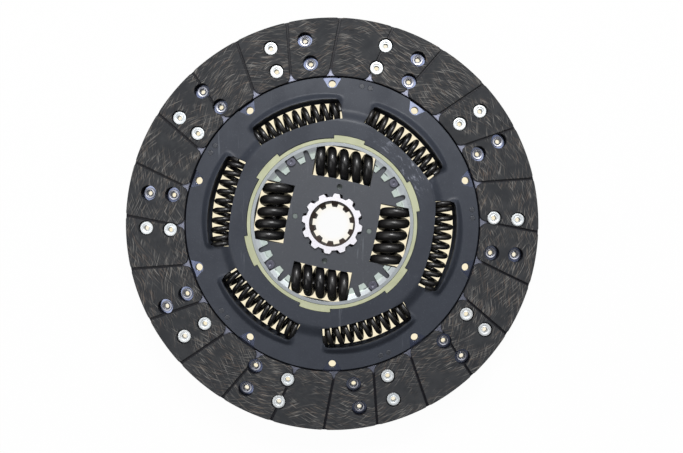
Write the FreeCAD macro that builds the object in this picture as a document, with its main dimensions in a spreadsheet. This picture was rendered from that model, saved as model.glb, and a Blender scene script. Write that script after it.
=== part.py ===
import FreeCAD, Part
import math
import os
import re

import Sketcher

# Clutch disc with a two-stage spring damper.
# Millimetres, +Z up towards the side that is seen. The origin lies on the axis, midway between the facings.

SIZES = {
    # friction facings and the plate that carries them
    "facing_outer": 165.0,
    "facing_inner": 120.5,
    "facing_thick": 3.8,
    "groove_count": 24,
    "groove_turn": 4.0,
    "groove_aside": 24.8,
    "groove_wide": 1.6,
    "groove_deep": 1.2,
    "groove_flare": 3.4,
    "cushion_thick": 0.8,
    "cushion_inner": 106.0,
    "wave_rise": 0.5,
    "paddle_count": 10,
    "paddle_turn": 31.85,
    "paddle_half": 16.5,
    "paddle_outer": 163.5,
    # rivets of the facings
    "rivet_outer_row": 148.2,
    "rivet_inner_row": 129.0,
    "rivet_aside": 14.05,
    "rivet_head": 5.2,
    "rivet_head_thick": 1.0,
    "rivet_shank": 2.4,
    "rivet_end": 4.2,
    "rivet_end_thick": 1.0,
    "rivet_play": 0.05,
    "end_play": 0.06,
    "well_radius": 5.8,
    "facing_web": 1.4,
    "clearance_hole": 6.0,
    # cover plates
    "cover_thick": 3.6,
    "cover_outer": 119.6,
    "cover_play": 0.2,
    "cover_bore": 67.8,
    "slope_outer": 90.0,
    "slope_inner": 84.0,
    "ring_rise": 5.2,
    "rear_outer": 117.0,
    "rear_wall": 102.6,
    "rear_bore": 66.0,
    "wall_lean": 2.0,
    "wall_thick": 3.0,
    "running_gap": 0.3,
    # rim of the covers
    "rim_turn": 18.0,
    "rim_hole": 2.95,
    "rim_hole_ring": 113.0,
    "notch_half": 7.4,
    "notch_floor_half": 3.2,
    "notch_floor": 109.6,
    "notch_drop": 1.8,
    "pin_count": 5,
    "pin_turn": 4.0,
    "pin_spread": 1.75,
    "pin_ring": 112.6,
    "pin_radius": 1.35,
    "pin_play": 0.02,
    # outer springs and their windows
    "spring_turn": -11.6,
    "outer_count": 6,
    "outer_ring": 87.1,
    "outer_coil": 10.1,
    "outer_wire": 2.0,
    "outer_turns": 10.25,
    "outer_closed": 1.0,
    "outer_start": 0.0,
    "outer_length": 72.0,
    "outer_tilt": 13.0,
    "seat_gap": 0.3,
    "window_play": 0.6,
    "window_inner": 80.5,
    "window_drop": 3.8,
    "window_outer": 103.0,
    "hood_half": 22.6,
    "hood_reach": 99.1,
    "hood_rise": 8.0,
    "hood_thick": 2.1,
    "hood_root": 107.0,
    # friction rings
    "ring_wall": 64.8,
    "ring_wall_thick": 2.7,
    "ring_foot": 76.0,
    "ring_foot_inner": 67.0,
    "ring_ledge": 62.8,
    "ledge_thick": 1.1,
    "lug_count": 6,
    "lug_reach": 70.5,
    "lug_half": 10.5,
    "lug_play": 0.3,
    # intermediate flange
    "flange_thick": 5.0,
    "flange_outer": 97.0,
    "flange_bore": 26.0,
    "stop_slot_half": 11.0,
    # inner springs and their windows
    "inner_count": 4,
    "inner_ring": 48.4,
    "inner_coil": 13.25,
    "inner_wire": 3.7,
    "inner_turns": 4.9,
    "inner_closed": 0.6,
    "inner_start": 0.45,
    "inner_length": 47.0,
    # drive plates
    "drive_thick": 3.5,
    "drive_outer": 62.5,
    "drive_gap": 2.9,
    "drive_window": 36.0,
    "drive_window_drop": 1.0,
    "stop_ring": 58.9,
    "stop_shoulder": 4.0,
    "stop_tenon": 2.6,
    "stop_head": 3.4,
    "stop_head_thick": 1.5,
    "stop_dimple": 1.4,
    "dimple_deep": 0.7,
    "stop_play": 0.05,
    # diaphragm washer
    "washer_outer": 64.5,
    "washer_thick": 1.0,
    "washer_lift": 1.9,
    "washer_bend": 57.7,
    "washer_tip": 53.4,
    "slot_end": 61.9,
    "slot_turn": 13.1,
    "slot_half": 1.9,
    "slot_half_tip": 2.7,
    "slot_drop": 1.2,
    "head_slot_half": 4.1,
    "head_slot_half_tip": 5.0,
    # friction washers with pegs
    "peg_ring": 30.1,
    "peg_radius": 2.0,
    "peg_hole": 2.2,
    "peg_washer_inner": 26.6,
    "peg_washer_outer": 33.4,
    # hub
    "tooth_count": 12,
    "hub_turn": 20.6,
    "hub_tip": 24.0,
    "hub_root": 21.3,
    "tooth_half_tip": 5.2,
    "tooth_half_root": 9.4,
    "lash_half": 3.2,
    "tooth_play": 0.3,
    "hub_top": 8.5,
    "hub_bottom": -36.0,
    "hub_collar": 25.0,
    "collar_thick": 3.0,
    "spline_count": 10,
    "spline_turn": 29.3,
    "spline_major": 17.46,
    "spline_minor": 14.65,
    "spline_gap_half": 2.72,
    "hub_chamfer": 18.3,
    "bush_wall": 1.6,
}

doc = FreeCAD.newDocument("ClutchDisc")
sizes = doc.addObject("Spreadsheet::Sheet", "Sizes")
for row, (alias, number) in enumerate(SIZES.items(), start=1):
    sizes.set("A%d" % row, alias)
    sizes.set("B%d" % row, str(number))
    sizes.setAlias("B%d" % row, alias)
doc.recompute()


# Formulas are written with the plain names of the sheet.

def formula(text):
    """The text with each size's name led by the sheet's own."""
    return re.sub(r"\b[a-z]+(_[a-z]+)+\b", lambda name: "Sizes." + name.group(0), text)


def number(text):
    """What a formula comes to."""
    return float(sizes.evalExpression(formula(text)))


# Levels along the axis, as formulas

COVER_LOW = "(cushion_thick/2)"
COVER_TOP = "(cushion_thick/2 + cover_thick)"
FLANGE_TOP = "(cushion_thick/2 - running_gap)"
FLANGE_LOW = "(cushion_thick/2 - running_gap - flange_thick)"
DAMPER_MIDDLE = "(cushion_thick/2 - running_gap - flange_thick/2)"
FACING_LOW = "(cushion_thick/2 + wave_rise)"
FACING_TOP = "(cushion_thick/2 + wave_rise + facing_thick)"
DRIVE_LOW = "(cushion_thick/2 - running_gap + drive_gap)"
DRIVE_TOP = "(cushion_thick/2 - running_gap + drive_gap + drive_thick)"
REAR_DRIVE_TOP = "(cushion_thick/2 - running_gap - flange_thick - drive_gap)"
REAR_DRIVE_LOW = "(cushion_thick/2 - running_gap - flange_thick - drive_gap - drive_thick)"
RING_TOP = "(cushion_thick/2 + cover_thick + ring_rise)"
RING_LOW = "(cushion_thick/2 + ring_rise)"
BEND = "(cover_thick*tan(atan(ring_rise/(slope_outer - slope_inner))/2))"

# The outer springs lie on a circle of their own, whose centre is off the axis of the disc.
BOW = "(outer_length*90/pi/outer_tilt)"
BOW_CENTRE = "(outer_ring - outer_length*90/pi/outer_tilt)"
INNER_END = "(inner_length/2 + seat_gap)"


def window_end(across):
    """Half the length of an outer spring's window, this far out from the axis."""
    return "((%s - %s)*tan(outer_tilt) + seat_gap/cos(outer_tilt))" % (across, BOW_CENTRE)


def polar(radius, angle):
    """The x and y of a corner given by its radius and angle."""
    return "(%s)*cos(%s)" % (radius, angle), "(%s)*sin(%s)" % (radius, angle)


def bowed(middle, drop, half):
    """Two corners and the arc between them, which stands out to the middle."""
    radius = "(((%s)^2 + (%s)^2)/(2*(%s)))" % (half, drop, drop)
    across = "(%s) - (%s)" % (middle, drop)
    return [(across, "-(%s)" % half, radius), (across, half)]


def mirrored(level):
    """The level on the other side of the flange's middle."""
    return "(2*%s - %s)" % (DAMPER_MIDDLE, level)


# Helpers that make and place the features of a body

def body_of(label):
    """An empty body with its label."""
    body = doc.addObject("PartDesign::Body", label)
    body.Label = label
    return body


def origin_of(body, role):
    """A plane or axis of the body's own origin."""
    return next(item for item in body.Origin.OriginFeatures if item.Role == role)


def sketch_on(body, name, plane, turn="", level="", aside=""):
    """A sketch on a plane of the body, turned about the disc's axis and lifted or shifted.

    aside is (across, along, angle): the sketch then stands at that spot, turned round the axis.
    """
    sketch = body.newObject("Sketcher::SketchObject", name)
    sketch.AttachmentSupport = [(origin_of(body, plane), "")]
    sketch.MapMode = "FlatFace"
    upward = FreeCAD.Vector(0, 0, 1) if plane == "XY_Plane" else FreeCAD.Vector(0, 1, 0)
    angle = number(turn) if turn else 0.0
    base = FreeCAD.Vector(0, 0, 0)
    sketch.AttachmentOffset = FreeCAD.Placement(base, FreeCAD.Rotation(upward, angle))
    if turn:
        sketch.setExpression("AttachmentOffset.Rotation.Angle", formula(turn))
    if level:
        sketch.setExpression("AttachmentOffset.Base.z", formula(level))
    if aside:
        spot_x = "(%s)*cos(%s) - (%s)*sin(%s)" % (aside[0], aside[2], aside[1], aside[2])
        spot_y = "(%s)*sin(%s) + (%s)*cos(%s)" % (aside[0], aside[2], aside[1], aside[2])
        sketch.setExpression("AttachmentOffset.Base.x", formula(spot_x))
        sketch.setExpression("AttachmentOffset.Base.z", formula("-(%s)" % spot_y))
    return sketch


def bind(sketch, kind, place, text):
    """Adds a constraint and ties it to its formula."""
    index = sketch.addConstraint(Sketcher.Constraint(kind, *place, number(text)))
    sketch.setExpression("Constraints[%d]" % index, formula(text))


def arc_between(start, end, radius):
    """An arc of the radius from start to end; a positive radius turns left on the way."""
    chord = end - start
    rise = math.sqrt(max(radius * radius - chord.Length ** 2 / 4, 0.0))
    left = FreeCAD.Vector(-chord.y, chord.x, 0).normalize()
    centre = start + chord * 0.5 + left * (rise if radius > 0 else -rise)
    first, last = (start, end) if radius > 0 else (end, start)
    circle = Part.Circle(centre, FreeCAD.Vector(0, 0, 1), abs(radius))
    return Part.ArcOfCircle(circle, circle.parameter(first), circle.parameter(last))


def outline(sketch, corners):
    """A closed outline. A corner is (x, y), or (x, y, radius) where an arc leaves it."""
    spots = [FreeCAD.Vector(number(corner[0]), number(corner[1]), 0) for corner in corners]
    ends = []
    for index, corner in enumerate(corners):
        start = spots[index]
        end = spots[(index + 1) % len(corners)]
        if len(corner) == 3:
            radius = number(corner[2])
            edge = sketch.addGeometry(arc_between(start, end, radius), False)
            bind(sketch, "Radius", (edge,), "abs(%s)" % corner[2])
            ends.append((edge, 1, 2) if radius > 0 else (edge, 2, 1))
        else:
            edge = sketch.addGeometry(Part.LineSegment(start, end), False)
            ends.append((edge, 1, 2))
    for index, corner in enumerate(corners):
        edge, first, last = ends[index]
        following = ends[(index + 1) % len(corners)]
        sketch.addConstraint(Sketcher.Constraint("Coincident", edge, last, following[0], following[1]))
        bind(sketch, "DistanceX", (-1, 1, edge, first), corner[0])
        bind(sketch, "DistanceY", (-1, 1, edge, first), corner[1])


def circle(sketch, radius, across="0", along="0"):
    """A full circle about a point of the sketch."""
    centre = FreeCAD.Vector(number(across), number(along), 0)
    edge = sketch.addGeometry(Part.Circle(centre, FreeCAD.Vector(0, 0, 1), number(radius)), False)
    bind(sketch, "Radius", (edge,), radius)
    bind(sketch, "DistanceX", (-1, 1, edge, 3), across)
    bind(sketch, "DistanceY", (-1, 1, edge, 3), along)


def turned(body, name, corners, turn="", sweep="", aside=""):
    """Material turned from a profile of (radius, level) corners, all round or through an angle."""
    sketch = sketch_on(body, name + "Profile", "XZ_Plane", turn=turn, aside=aside)
    outline(sketch, corners)
    feature = body.newObject("PartDesign::Revolution", name)
    feature.Profile = sketch
    feature.ReferenceAxis = (sketch, ["V_Axis"])
    feature.Angle = 360
    if sweep:
        feature.Midplane = True
        feature.setExpression("Angle", formula(sweep))
    return feature


def turned_away(body, name, corners):
    """A groove turned out of the body."""
    sketch = sketch_on(body, name + "Profile", "XZ_Plane")
    outline(sketch, corners)
    feature = body.newObject("PartDesign::Groove", name)
    feature.Profile = sketch
    feature.ReferenceAxis = (sketch, ["V_Axis"])
    feature.Angle = 360
    return feature


def padded(body, name, sketch, length):
    """Material raised from a sketch."""
    feature = body.newObject("PartDesign::Pad", name)
    feature.Profile = sketch
    feature.setExpression("Length", formula(length))
    return feature


def pocketed(body, name, sketch, depth=""):
    """Material cut below a sketch to a depth, or right through both ways."""
    feature = body.newObject("PartDesign::Pocket", name)
    feature.Profile = sketch
    if depth:
        feature.Type = 0
        feature.setExpression("Length", formula(depth))
    else:
        feature.Type = 1
        feature.Midplane = True
    return feature


def repeated(body, name, features, count):
    """Copies of the features round the axis."""
    doc.recompute()
    pattern = body.newObject("PartDesign::PolarPattern", name)
    pattern.Originals = features
    pattern.Axis = (origin_of(body, "Z_Axis"), [""])
    pattern.Angle = 360
    pattern.Occurrences = int(number(count))
    pattern.setExpression("Occurrences", formula(count))
    body.Tip = pattern
    return pattern


# Friction facings: rings with straight grooves, counterbored for their own rivets, open over the others'

def rivet_places(side):
    """Centres of a paddle's two rivets on one side of its axis."""
    return [("rivet_outer_row", side + "rivet_aside"), ("rivet_inner_row", side + "rivet_aside")]


def turn_over(body, level="0"):
    """Lays a body that was made as the front one on the rear side."""
    over = FreeCAD.Rotation(FreeCAD.Vector(1, 0, 0), 180)
    body.Placement = FreeCAD.Placement(FreeCAD.Vector(0, 0, 0), over)
    body.setExpression("Placement.Base.z", formula(level))


def facing(label, paddle_angle):
    """One facing, made as the front one."""
    body = body_of(label)
    ring = sketch_on(body, "Ring", "XY_Plane", level=FACING_LOW)
    circle(ring, "facing_outer")
    circle(ring, "facing_inner")
    padded(body, "FacingRing", ring, "facing_thick")

    near = "groove_aside - groove_wide/2"
    far = "groove_aside + groove_wide/2"
    low = "(%s - groove_flare)" % near
    high = "(%s + groove_flare)" % far
    low_mouth = "sqrt(facing_inner^2 - %s^2)" % low
    high_mouth = "sqrt(facing_inner^2 - %s^2)" % high
    low_rim = "sqrt(facing_outer^2 - %s^2)" % low
    high_rim = "sqrt(facing_outer^2 - %s^2)" % high
    beyond = "facing_outer + groove_wide"
    groove = sketch_on(body, "GrooveOutline", "XY_Plane", turn="groove_turn", level=FACING_TOP)
    outline(groove, [
        (low_mouth, low, "-groove_flare"),
        (low_mouth + " + groove_flare", near),
        (low_rim + " - groove_flare", near, "-groove_flare"),
        (low_rim, low),
        (beyond, low),
        (beyond, high),
        (high_rim, high, "-groove_flare"),
        (high_rim + " - groove_flare", far),
        (high_mouth + " + groove_flare", far, "-groove_flare"),
        (high_mouth, high),
    ])
    cut = pocketed(body, "Groove", groove, "groove_deep")
    repeated(body, "Grooves", [cut], "groove_count")

    wells = sketch_on(body, "RivetWells", "XY_Plane", turn=paddle_angle, level=FACING_TOP)
    holes = sketch_on(body, "RivetHoles", "XY_Plane", turn=paddle_angle)
    for across, along in rivet_places(""):
        circle(wells, "well_radius", across, along)
        circle(holes, "rivet_shank + rivet_play", across, along)
    for across, along in rivet_places("-"):
        circle(holes, "clearance_hole", across, along)
    well_cut = pocketed(body, "Wells", wells, "facing_thick - facing_web")
    hole_cut = pocketed(body, "Holes", holes)
    repeated(body, "RivetPattern", [well_cut, hole_cut], "paddle_count")
    return body


facing("front_facing", "paddle_turn")
turn_over(facing("rear_facing", "-paddle_turn"))


# Rivets of the facings: flat head in the counterbore, shank, and an end rolled over behind the cushion plate

def facing_rivets(label, paddle_angle):
    """The twenty rivets of one facing."""
    body = body_of(label)
    body.AllowCompound = True
    head_low = "(%s + facing_web)" % FACING_LOW
    end_top = "(wave_rise - cushion_thick/2 - end_play)"
    corners = [
        ("0", end_top + " - rivet_end_thick"),
        ("rivet_end", end_top + " - rivet_end_thick"),
        ("rivet_end", end_top),
        ("rivet_shank", end_top),
        ("rivet_shank", head_low),
        ("rivet_head", head_low),
        ("rivet_head", head_low + " + rivet_head_thick"),
        ("0", head_low + " + rivet_head_thick"),
    ]
    rows = []
    for name, (across, along) in zip(("OuterRow", "InnerRow"), rivet_places("")):
        rows.append(turned(body, name, corners, aside=(across, along, paddle_angle)))
    repeated(body, "Rivets", rows, "paddle_count")
    return body


facing_rivets("front_facing_rivets", "paddle_turn")
turn_over(facing_rivets("rear_facing_rivets", "-paddle_turn"))


# Cushion plate: a flat ring with waved paddles, each touching the front facing on one rivet line
# and the rear facing on the other

def waved_sheet(first, last):
    """A sheet from one distance to another along X, waved across it."""
    half_wave = 2 * number("rivet_aside")
    rise = number("wave_rise")
    lift = number("cushion_thick") / 2
    edges = []
    for side, way in ((1, 1), (-1, -1)):
        for step in range(-2, 2):
            begin = way * half_wave * step
            bend = rise * (1 if (begin + way * half_wave / 2) % (2 * half_wave) < half_wave else -1)
            spots = [(begin, 0), (begin + way * half_wave / 2, bend), (begin + way * half_wave, 0)]
            points = [FreeCAD.Vector(first, along, up + side * lift) for along, up in spots]
            edges.append(Part.Arc(*points).toShape())
        corner = FreeCAD.Vector(first, points[-1].y, -side * lift)
        edges.append(Part.makeLine(points[-1], corner))
    return Part.Face(Part.Wire(edges)).extrude(FreeCAD.Vector(last - first, 0, 0))


def sector(reach, half_angle, half_height):
    """A slice about the X axis, from the disc's axis outward."""
    low = FreeCAD.Vector(0, 0, -half_height)
    piece = Part.makeCylinder(reach, 2 * half_height, low, FreeCAD.Vector(0, 0, 1), 2 * half_angle)
    piece.rotate(FreeCAD.Vector(0, 0, 0), FreeCAD.Vector(0, 0, 1), -half_angle)
    return piece


def ring_solid(outer, inner, low, high):
    """A plain ring about the axis."""
    base = FreeCAD.Vector(0, 0, low)
    return Part.makeCylinder(outer, high - low, base).cut(Part.makeCylinder(inner, high - low, base))


def round_the_axis(shape, count, turn=0.0):
    """Copies of a shape round the axis."""
    copies = []
    for index in range(count):
        copy = shape.copy()
        copy.rotate(FreeCAD.Vector(0, 0, 0), FreeCAD.Vector(0, 0, 1), turn + 360.0 * index / count)
        copies.append(copy)
    return copies


def through_hole(radius, across, along):
    """A cutter for a hole that goes through the plate."""
    reach = number(FACING_TOP)
    return Part.makeCylinder(radius, 2 * reach, FreeCAD.Vector(across, along, -reach))


def cushion_plate():
    """The spring steel plate between the facings."""
    half = number("cushion_thick/2")
    height = number(FACING_TOP)
    paddle_half = number("paddle_half")
    ring_outer = number("facing_inner + cushion_thick")
    paddle = waved_sheet(number("cushion_inner"), number("facing_outer"))
    paddle = paddle.common(sector(number("paddle_outer"), paddle_half, height))
    inside = FreeCAD.Vector(0, 0, -height)
    paddle = paddle.cut(Part.makeCylinder(number("cover_outer + cover_play"), 2 * height, inside))
    hole = number("rivet_shank + rivet_play")
    holes = []
    for side in ("", "-"):
        for across, along in rivet_places(side):
            holes.append(through_hole(hole, number(across), number(along)))
    paddle = paddle.cut(Part.makeCompound(holes))
    count = int(number("paddle_count"))
    ring = ring_solid(ring_outer, number("cushion_inner"), -half, half)
    plate = ring.multiFuse(round_the_axis(paddle, count, number("paddle_turn")))
    rim = round_the_axis(through_hole(number("rim_hole"), number("rim_hole_ring"), 0.0), count, number("rim_turn"))
    pins = []
    for angle in ("pin_spread", "-pin_spread"):
        across, along = polar("pin_ring", angle)
        pin = through_hole(number("pin_radius + pin_play"), number(across), number(along))
        pins += round_the_axis(pin, int(number("pin_count")), number("pin_turn"))
    return plate.cut(Part.makeCompound(rim + pins))


cushion = doc.addObject("Part::Feature", "cushion_plate")
cushion.Label = "cushion_plate"
cushion.Shape = cushion_plate()


# Cover plates: pressed sheet with a flat rim, a slope and a raised ring, open over the outer springs

def spring_windows(body):
    """Openings over the outer springs, cut right through."""
    half = window_end("(window_inner - window_drop)")
    start = "(seat_gap/cos(outer_tilt) - %s*tan(outer_tilt))" % BOW_CENTRE
    reach = "sqrt((window_outer/cos(outer_tilt))^2 - %s^2)" % start
    across = "((%s - tan(outer_tilt)*%s)*cos(outer_tilt)^2)" % (reach, start)
    along = window_end(across)
    sketch = sketch_on(body, "WindowOutline", "XY_Plane", turn="spring_turn")
    outline(sketch, bowed("window_inner", "window_drop", half) + [
        (across, along, "-window_outer"),
        (across, "-" + along),
    ])
    cut = pocketed(body, "Window", sketch)
    repeated(body, "Windows", [cut], "outer_count")


def spring_hoods(body, at):
    """Lips that rise over the outer springs from the windows' outer edges."""
    flat_reach = "hood_reach + hood_thick + hood_rise - cover_thick"
    root_rise = "hood_rise - hood_thick - (window_outer - hood_reach)"
    hood = turned(body, "Hood", [
        ("hood_root", at(COVER_LOW)),
        ("hood_root", at(COVER_TOP)),
        (flat_reach, at(COVER_TOP)),
        ("hood_reach + hood_thick", at("(%s + hood_rise)" % COVER_LOW)),
        ("hood_reach", at("(%s + hood_rise - hood_thick)" % COVER_LOW)),
        ("window_outer", at("(%s + %s)" % (COVER_LOW, root_rise))),
        ("window_outer", at(COVER_LOW)),
    ], turn="spring_turn", sweep="2*hood_half")
    repeated(body, "Hoods", [hood], "outer_count")


def pin_holes(body):
    """Holes for the rim rivets, in pairs."""
    sketch = sketch_on(body, "PinOutline", "XY_Plane", turn="pin_turn")
    for angle in ("pin_spread", "-pin_spread"):
        circle(sketch, "pin_radius + pin_play", *polar("pin_ring", angle))
    cut = pocketed(body, "PinPair", sketch)
    repeated(body, "PinHoles", [cut], "pin_count")


def front_cover():
    """The cover plate that is seen."""
    body = body_of("front_cover")
    turned(body, "Plate", [
        ("cover_outer", COVER_LOW),
        ("cover_outer", COVER_TOP),
        ("slope_outer", COVER_TOP),
        ("slope_inner", RING_TOP),
        ("cover_bore", RING_TOP),
        ("cover_bore", RING_LOW),
        ("slope_inner - " + BEND, RING_LOW),
        ("slope_outer - " + BEND, COVER_LOW),
    ])
    spring_windows(body)
    spring_hoods(body, str)

    notch = sketch_on(body, "NotchOutline", "XY_Plane", turn="rim_turn")
    floor = "notch_floor + notch_drop"
    radius = "((notch_floor_half^2 + notch_drop^2)/(2*notch_drop))"
    outline(notch, [
        (floor, "notch_floor_half", radius),
        (floor, "-notch_floor_half"),
        ("rim_hole_ring + rim_hole/2", "-notch_floor_half"),
        ("cover_outer + cover_thick", "-notch_half"),
        ("cover_outer + cover_thick", "notch_half"),
        ("rim_hole_ring + rim_hole/2", "notch_floor_half"),
    ])
    cut = pocketed(body, "Notch", notch)
    repeated(body, "Notches", [cut], "paddle_count")

    lug = sketch_on(body, "LugOutline", "XY_Plane", turn="spring_turn + 30")
    outline(lug, [
        polar("lug_reach", "-lug_half") + ("lug_reach",),
        polar("lug_reach", "lug_half"),
        polar("(cover_bore - lug_play)", "lug_half"),
        polar("(cover_bore - lug_play)", "-lug_half"),
    ])
    seat = pocketed(body, "LugSeat", lug)
    repeated(body, "LugSeats", [seat], "lug_count")
    pin_holes(body)


def rear_cover():
    """The hidden cover plate: its rim lies under the cushion plate and a wall drops to the flange's far side."""
    body = body_of("rear_cover")
    rim_top = "(-cushion_thick/2)"
    rim_low = "(-cushion_thick/2 - cover_thick)"
    turned(body, "Plate", [
        ("rear_outer", rim_top),
        ("rear_wall + wall_lean", rim_top),
        ("rear_wall", mirrored(COVER_LOW)),
        ("slope_outer - " + BEND, mirrored(COVER_LOW)),
        ("slope_inner - " + BEND, mirrored(RING_LOW)),
        ("rear_bore", mirrored(RING_LOW)),
        ("rear_bore", mirrored(RING_TOP)),
        ("slope_inner", mirrored(RING_TOP)),
        ("slope_outer", mirrored(COVER_TOP)),
        ("rear_wall + wall_thick", mirrored(COVER_TOP)),
        ("rear_wall + wall_thick + wall_lean", rim_low),
        ("rear_outer", rim_low),
    ])
    spring_windows(body)
    spring_hoods(body, mirrored)
    holes = sketch_on(body, "RimHoleOutline", "XY_Plane", turn="rim_turn")
    circle(holes, "rim_hole", "rim_hole_ring")
    cut = pocketed(body, "RimHole", holes)
    repeated(body, "RimHoles", [cut], "paddle_count")
    pin_holes(body)


front_cover()
rear_cover()


# Rim rivets: flush both sides, they hold the covers and the cushion plate together

def rim_rivets():
    """Five pairs of small rivets."""
    body = body_of("rim_rivets")
    body.AllowCompound = True
    sketch = sketch_on(body, "PinOutline", "XY_Plane", turn="pin_turn", level="-" + COVER_TOP)
    for angle in ("pin_spread", "-pin_spread"):
        circle(sketch, "pin_radius", *polar("pin_ring", angle))
    pair = padded(body, "PinPair", sketch, "cushion_thick + 2*cover_thick")
    repeated(body, "Pins", [pair], "pin_count")


rim_rivets()


# Friction rings: plastic, keyed in the cover's bore by lugs, with a ledge for the diaphragm washer's rim

def front_friction_ring():
    """The ring that shows inside the cover's bore."""
    body = body_of("front_friction_ring")
    wall_outer = "ring_wall + ring_wall_thick"
    top = "(%s - washer_thick/5)" % RING_TOP
    ledge_top = "(%s + washer_lift - running_gap)" % DRIVE_TOP
    ledge_low = "(%s - ledge_thick)" % ledge_top
    wall_low = "(%s + cover_thick + running_gap + cushion_thick/8)" % COVER_LOW
    turned(body, "Ring", [
        ("ring_foot_inner", COVER_LOW),
        ("ring_foot", COVER_LOW),
        ("ring_foot", RING_LOW),
        (wall_outer, RING_LOW),
        (wall_outer, top),
        ("ring_wall", top),
        ("ring_wall", ledge_top),
        ("ring_ledge", ledge_top),
        ("ring_ledge", ledge_low),
        ("ring_wall", ledge_low),
        ("ring_wall", wall_low),
        ("ring_foot_inner", wall_low),
    ])
    lug = turned(body, "Lug", [
        ("ring_foot_inner", RING_LOW),
        ("lug_reach - lug_play", RING_LOW),
        ("lug_reach - lug_play", top),
        ("ring_foot_inner", top),
    ], turn="spring_turn + 30", sweep="2*(lug_half - lug_play)")
    repeated(body, "Lugs", [lug], "lug_count")


def rear_friction_ring():
    """The plain ring between the flange and the rear cover."""
    body = body_of("rear_friction_ring")
    turned(body, "Ring", [
        ("ring_foot_inner", mirrored(COVER_LOW)),
        ("ring_foot", mirrored(COVER_LOW)),
        ("ring_foot", mirrored(RING_LOW)),
        ("ring_foot_inner", mirrored(RING_LOW)),
    ])


front_friction_ring()
rear_friction_ring()


# Intermediate flange: arms between the outer springs, windows for the inner springs, slots for the stop rivets

def intermediate_flange():
    """The thick plate between the covers."""
    body = body_of("intermediate_flange")
    disc = sketch_on(body, "Disc", "XY_Plane", level=FLANGE_LOW)
    circle(disc, "flange_outer")
    circle(disc, "flange_bore")
    padded(body, "Plate", disc, "flange_thick")

    reach = "(%s - outer_coil - window_play)" % BOW
    bay = sketch_on(body, "BayOutline", "XY_Plane", turn="spring_turn")
    middle = "(%s + %s)" % (BOW_CENTRE, reach)
    drop = "(%s*(1 - cos(outer_tilt)))" % reach
    outer = "flange_outer + outer_wire"
    outline(bay, bowed(middle, drop, window_end("(%s - %s)" % (middle, drop))) + [
        (outer, window_end("(%s)" % outer)),
        (outer, "-" + window_end("(%s)" % outer)),
    ])
    bay_cut = pocketed(body, "Bay", bay)
    repeated(body, "Bays", [bay_cut], "outer_count")

    window = sketch_on(body, "WindowOutline", "XY_Plane", turn="spring_turn")
    near = "inner_ring - inner_coil - window_play"
    far = "inner_ring + inner_coil + window_play"
    outline(window, [
        (near, "-" + INNER_END),
        (far, "-" + INNER_END),
        (far, INNER_END),
        (near, INNER_END),
    ])
    window_cut = pocketed(body, "Window", window)
    repeated(body, "Windows", [window_cut], "inner_count")

    slot = sketch_on(body, "SlotOutline", "XY_Plane", turn="spring_turn + 45")
    near = "(stop_ring - stop_shoulder - running_gap)"
    far = "(stop_ring + stop_shoulder + running_gap)"
    outline(slot, [
        polar(near, "stop_slot_half") + ("-" + near,),
        polar(near, "-stop_slot_half"),
        polar(far, "-stop_slot_half") + (far,),
        polar(far, "stop_slot_half"),
    ])
    slot_cut = pocketed(body, "Slot", slot)
    repeated(body, "Slots", [slot_cut], "inner_count")


intermediate_flange()


# Drive plates: four lobes between the inner springs, a toothed bore for the hub, small holes for the pegs

def drive_plate(label, low):
    """One of the two plates that the inner springs turn."""
    body = body_of(label)
    disc = sketch_on(body, "Disc", "XY_Plane", level=low)
    circle(disc, "drive_outer")
    circle(disc, "hub_root + tooth_play")
    padded(body, "Plate", disc, "drive_thick")

    window = sketch_on(body, "WindowOutline", "XY_Plane", turn="spring_turn")
    outline(window, bowed("drive_window", "drive_window_drop", INNER_END) + [
        ("drive_outer + inner_wire", INNER_END),
        ("drive_outer + inner_wire", "-" + INNER_END),
    ])
    window_cut = pocketed(body, "Window", window)
    repeated(body, "Windows", [window_cut], "inner_count")

    slot = sketch_on(body, "ToothOutline", "XY_Plane", turn="spring_turn")
    outline(slot, [
        polar("(hub_root - tooth_play)", "-(tooth_half_root + lash_half)"),
        polar("(hub_tip + tooth_play)", "-(tooth_half_tip + lash_half)") + ("hub_tip + tooth_play",),
        polar("(hub_tip + tooth_play)", "(tooth_half_tip + lash_half)"),
        polar("(hub_root - tooth_play)", "(tooth_half_root + lash_half)"),
    ])
    slot_cut = pocketed(body, "ToothSlot", slot)
    repeated(body, "ToothSlots", [slot_cut], "tooth_count")

    holes = sketch_on(body, "HoleOutline", "XY_Plane", turn="spring_turn")
    circle(holes, "peg_hole", "peg_ring")
    circle(holes, "stop_tenon + stop_play", *polar("stop_ring", "45"))
    hole_cut = pocketed(body, "Hole", holes)
    repeated(body, "Holes", [hole_cut], "inner_count")


drive_plate("front_drive_plate", DRIVE_LOW)
drive_plate("rear_drive_plate", REAR_DRIVE_LOW)


def stop_rivets():
    """Four shouldered rivets that join the drive plates and stop the inner springs' travel."""
    body = body_of("stop_rivets")
    body.AllowCompound = True
    rivet = turned(body, "Rivet", [
        ("0", REAR_DRIVE_LOW + " - stop_head_thick + dimple_deep"),
        ("stop_dimple", REAR_DRIVE_LOW + " - stop_head_thick"),
        ("stop_head", REAR_DRIVE_LOW + " - stop_head_thick"),
        ("stop_head", REAR_DRIVE_LOW),
        ("stop_tenon", REAR_DRIVE_LOW),
        ("stop_tenon", REAR_DRIVE_TOP),
        ("stop_shoulder", REAR_DRIVE_TOP),
        ("stop_shoulder", DRIVE_LOW),
        ("stop_tenon", DRIVE_LOW),
        ("stop_tenon", DRIVE_TOP),
        ("stop_head", DRIVE_TOP),
        ("stop_head", DRIVE_TOP + " + stop_head_thick"),
        ("stop_dimple", DRIVE_TOP + " + stop_head_thick"),
        ("0", DRIVE_TOP + " + stop_head_thick - dimple_deep"),
    ], aside=("stop_ring", "0", "(spring_turn + 45)"))
    repeated(body, "Rivets", [rivet], "inner_count")


stop_rivets()


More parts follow.
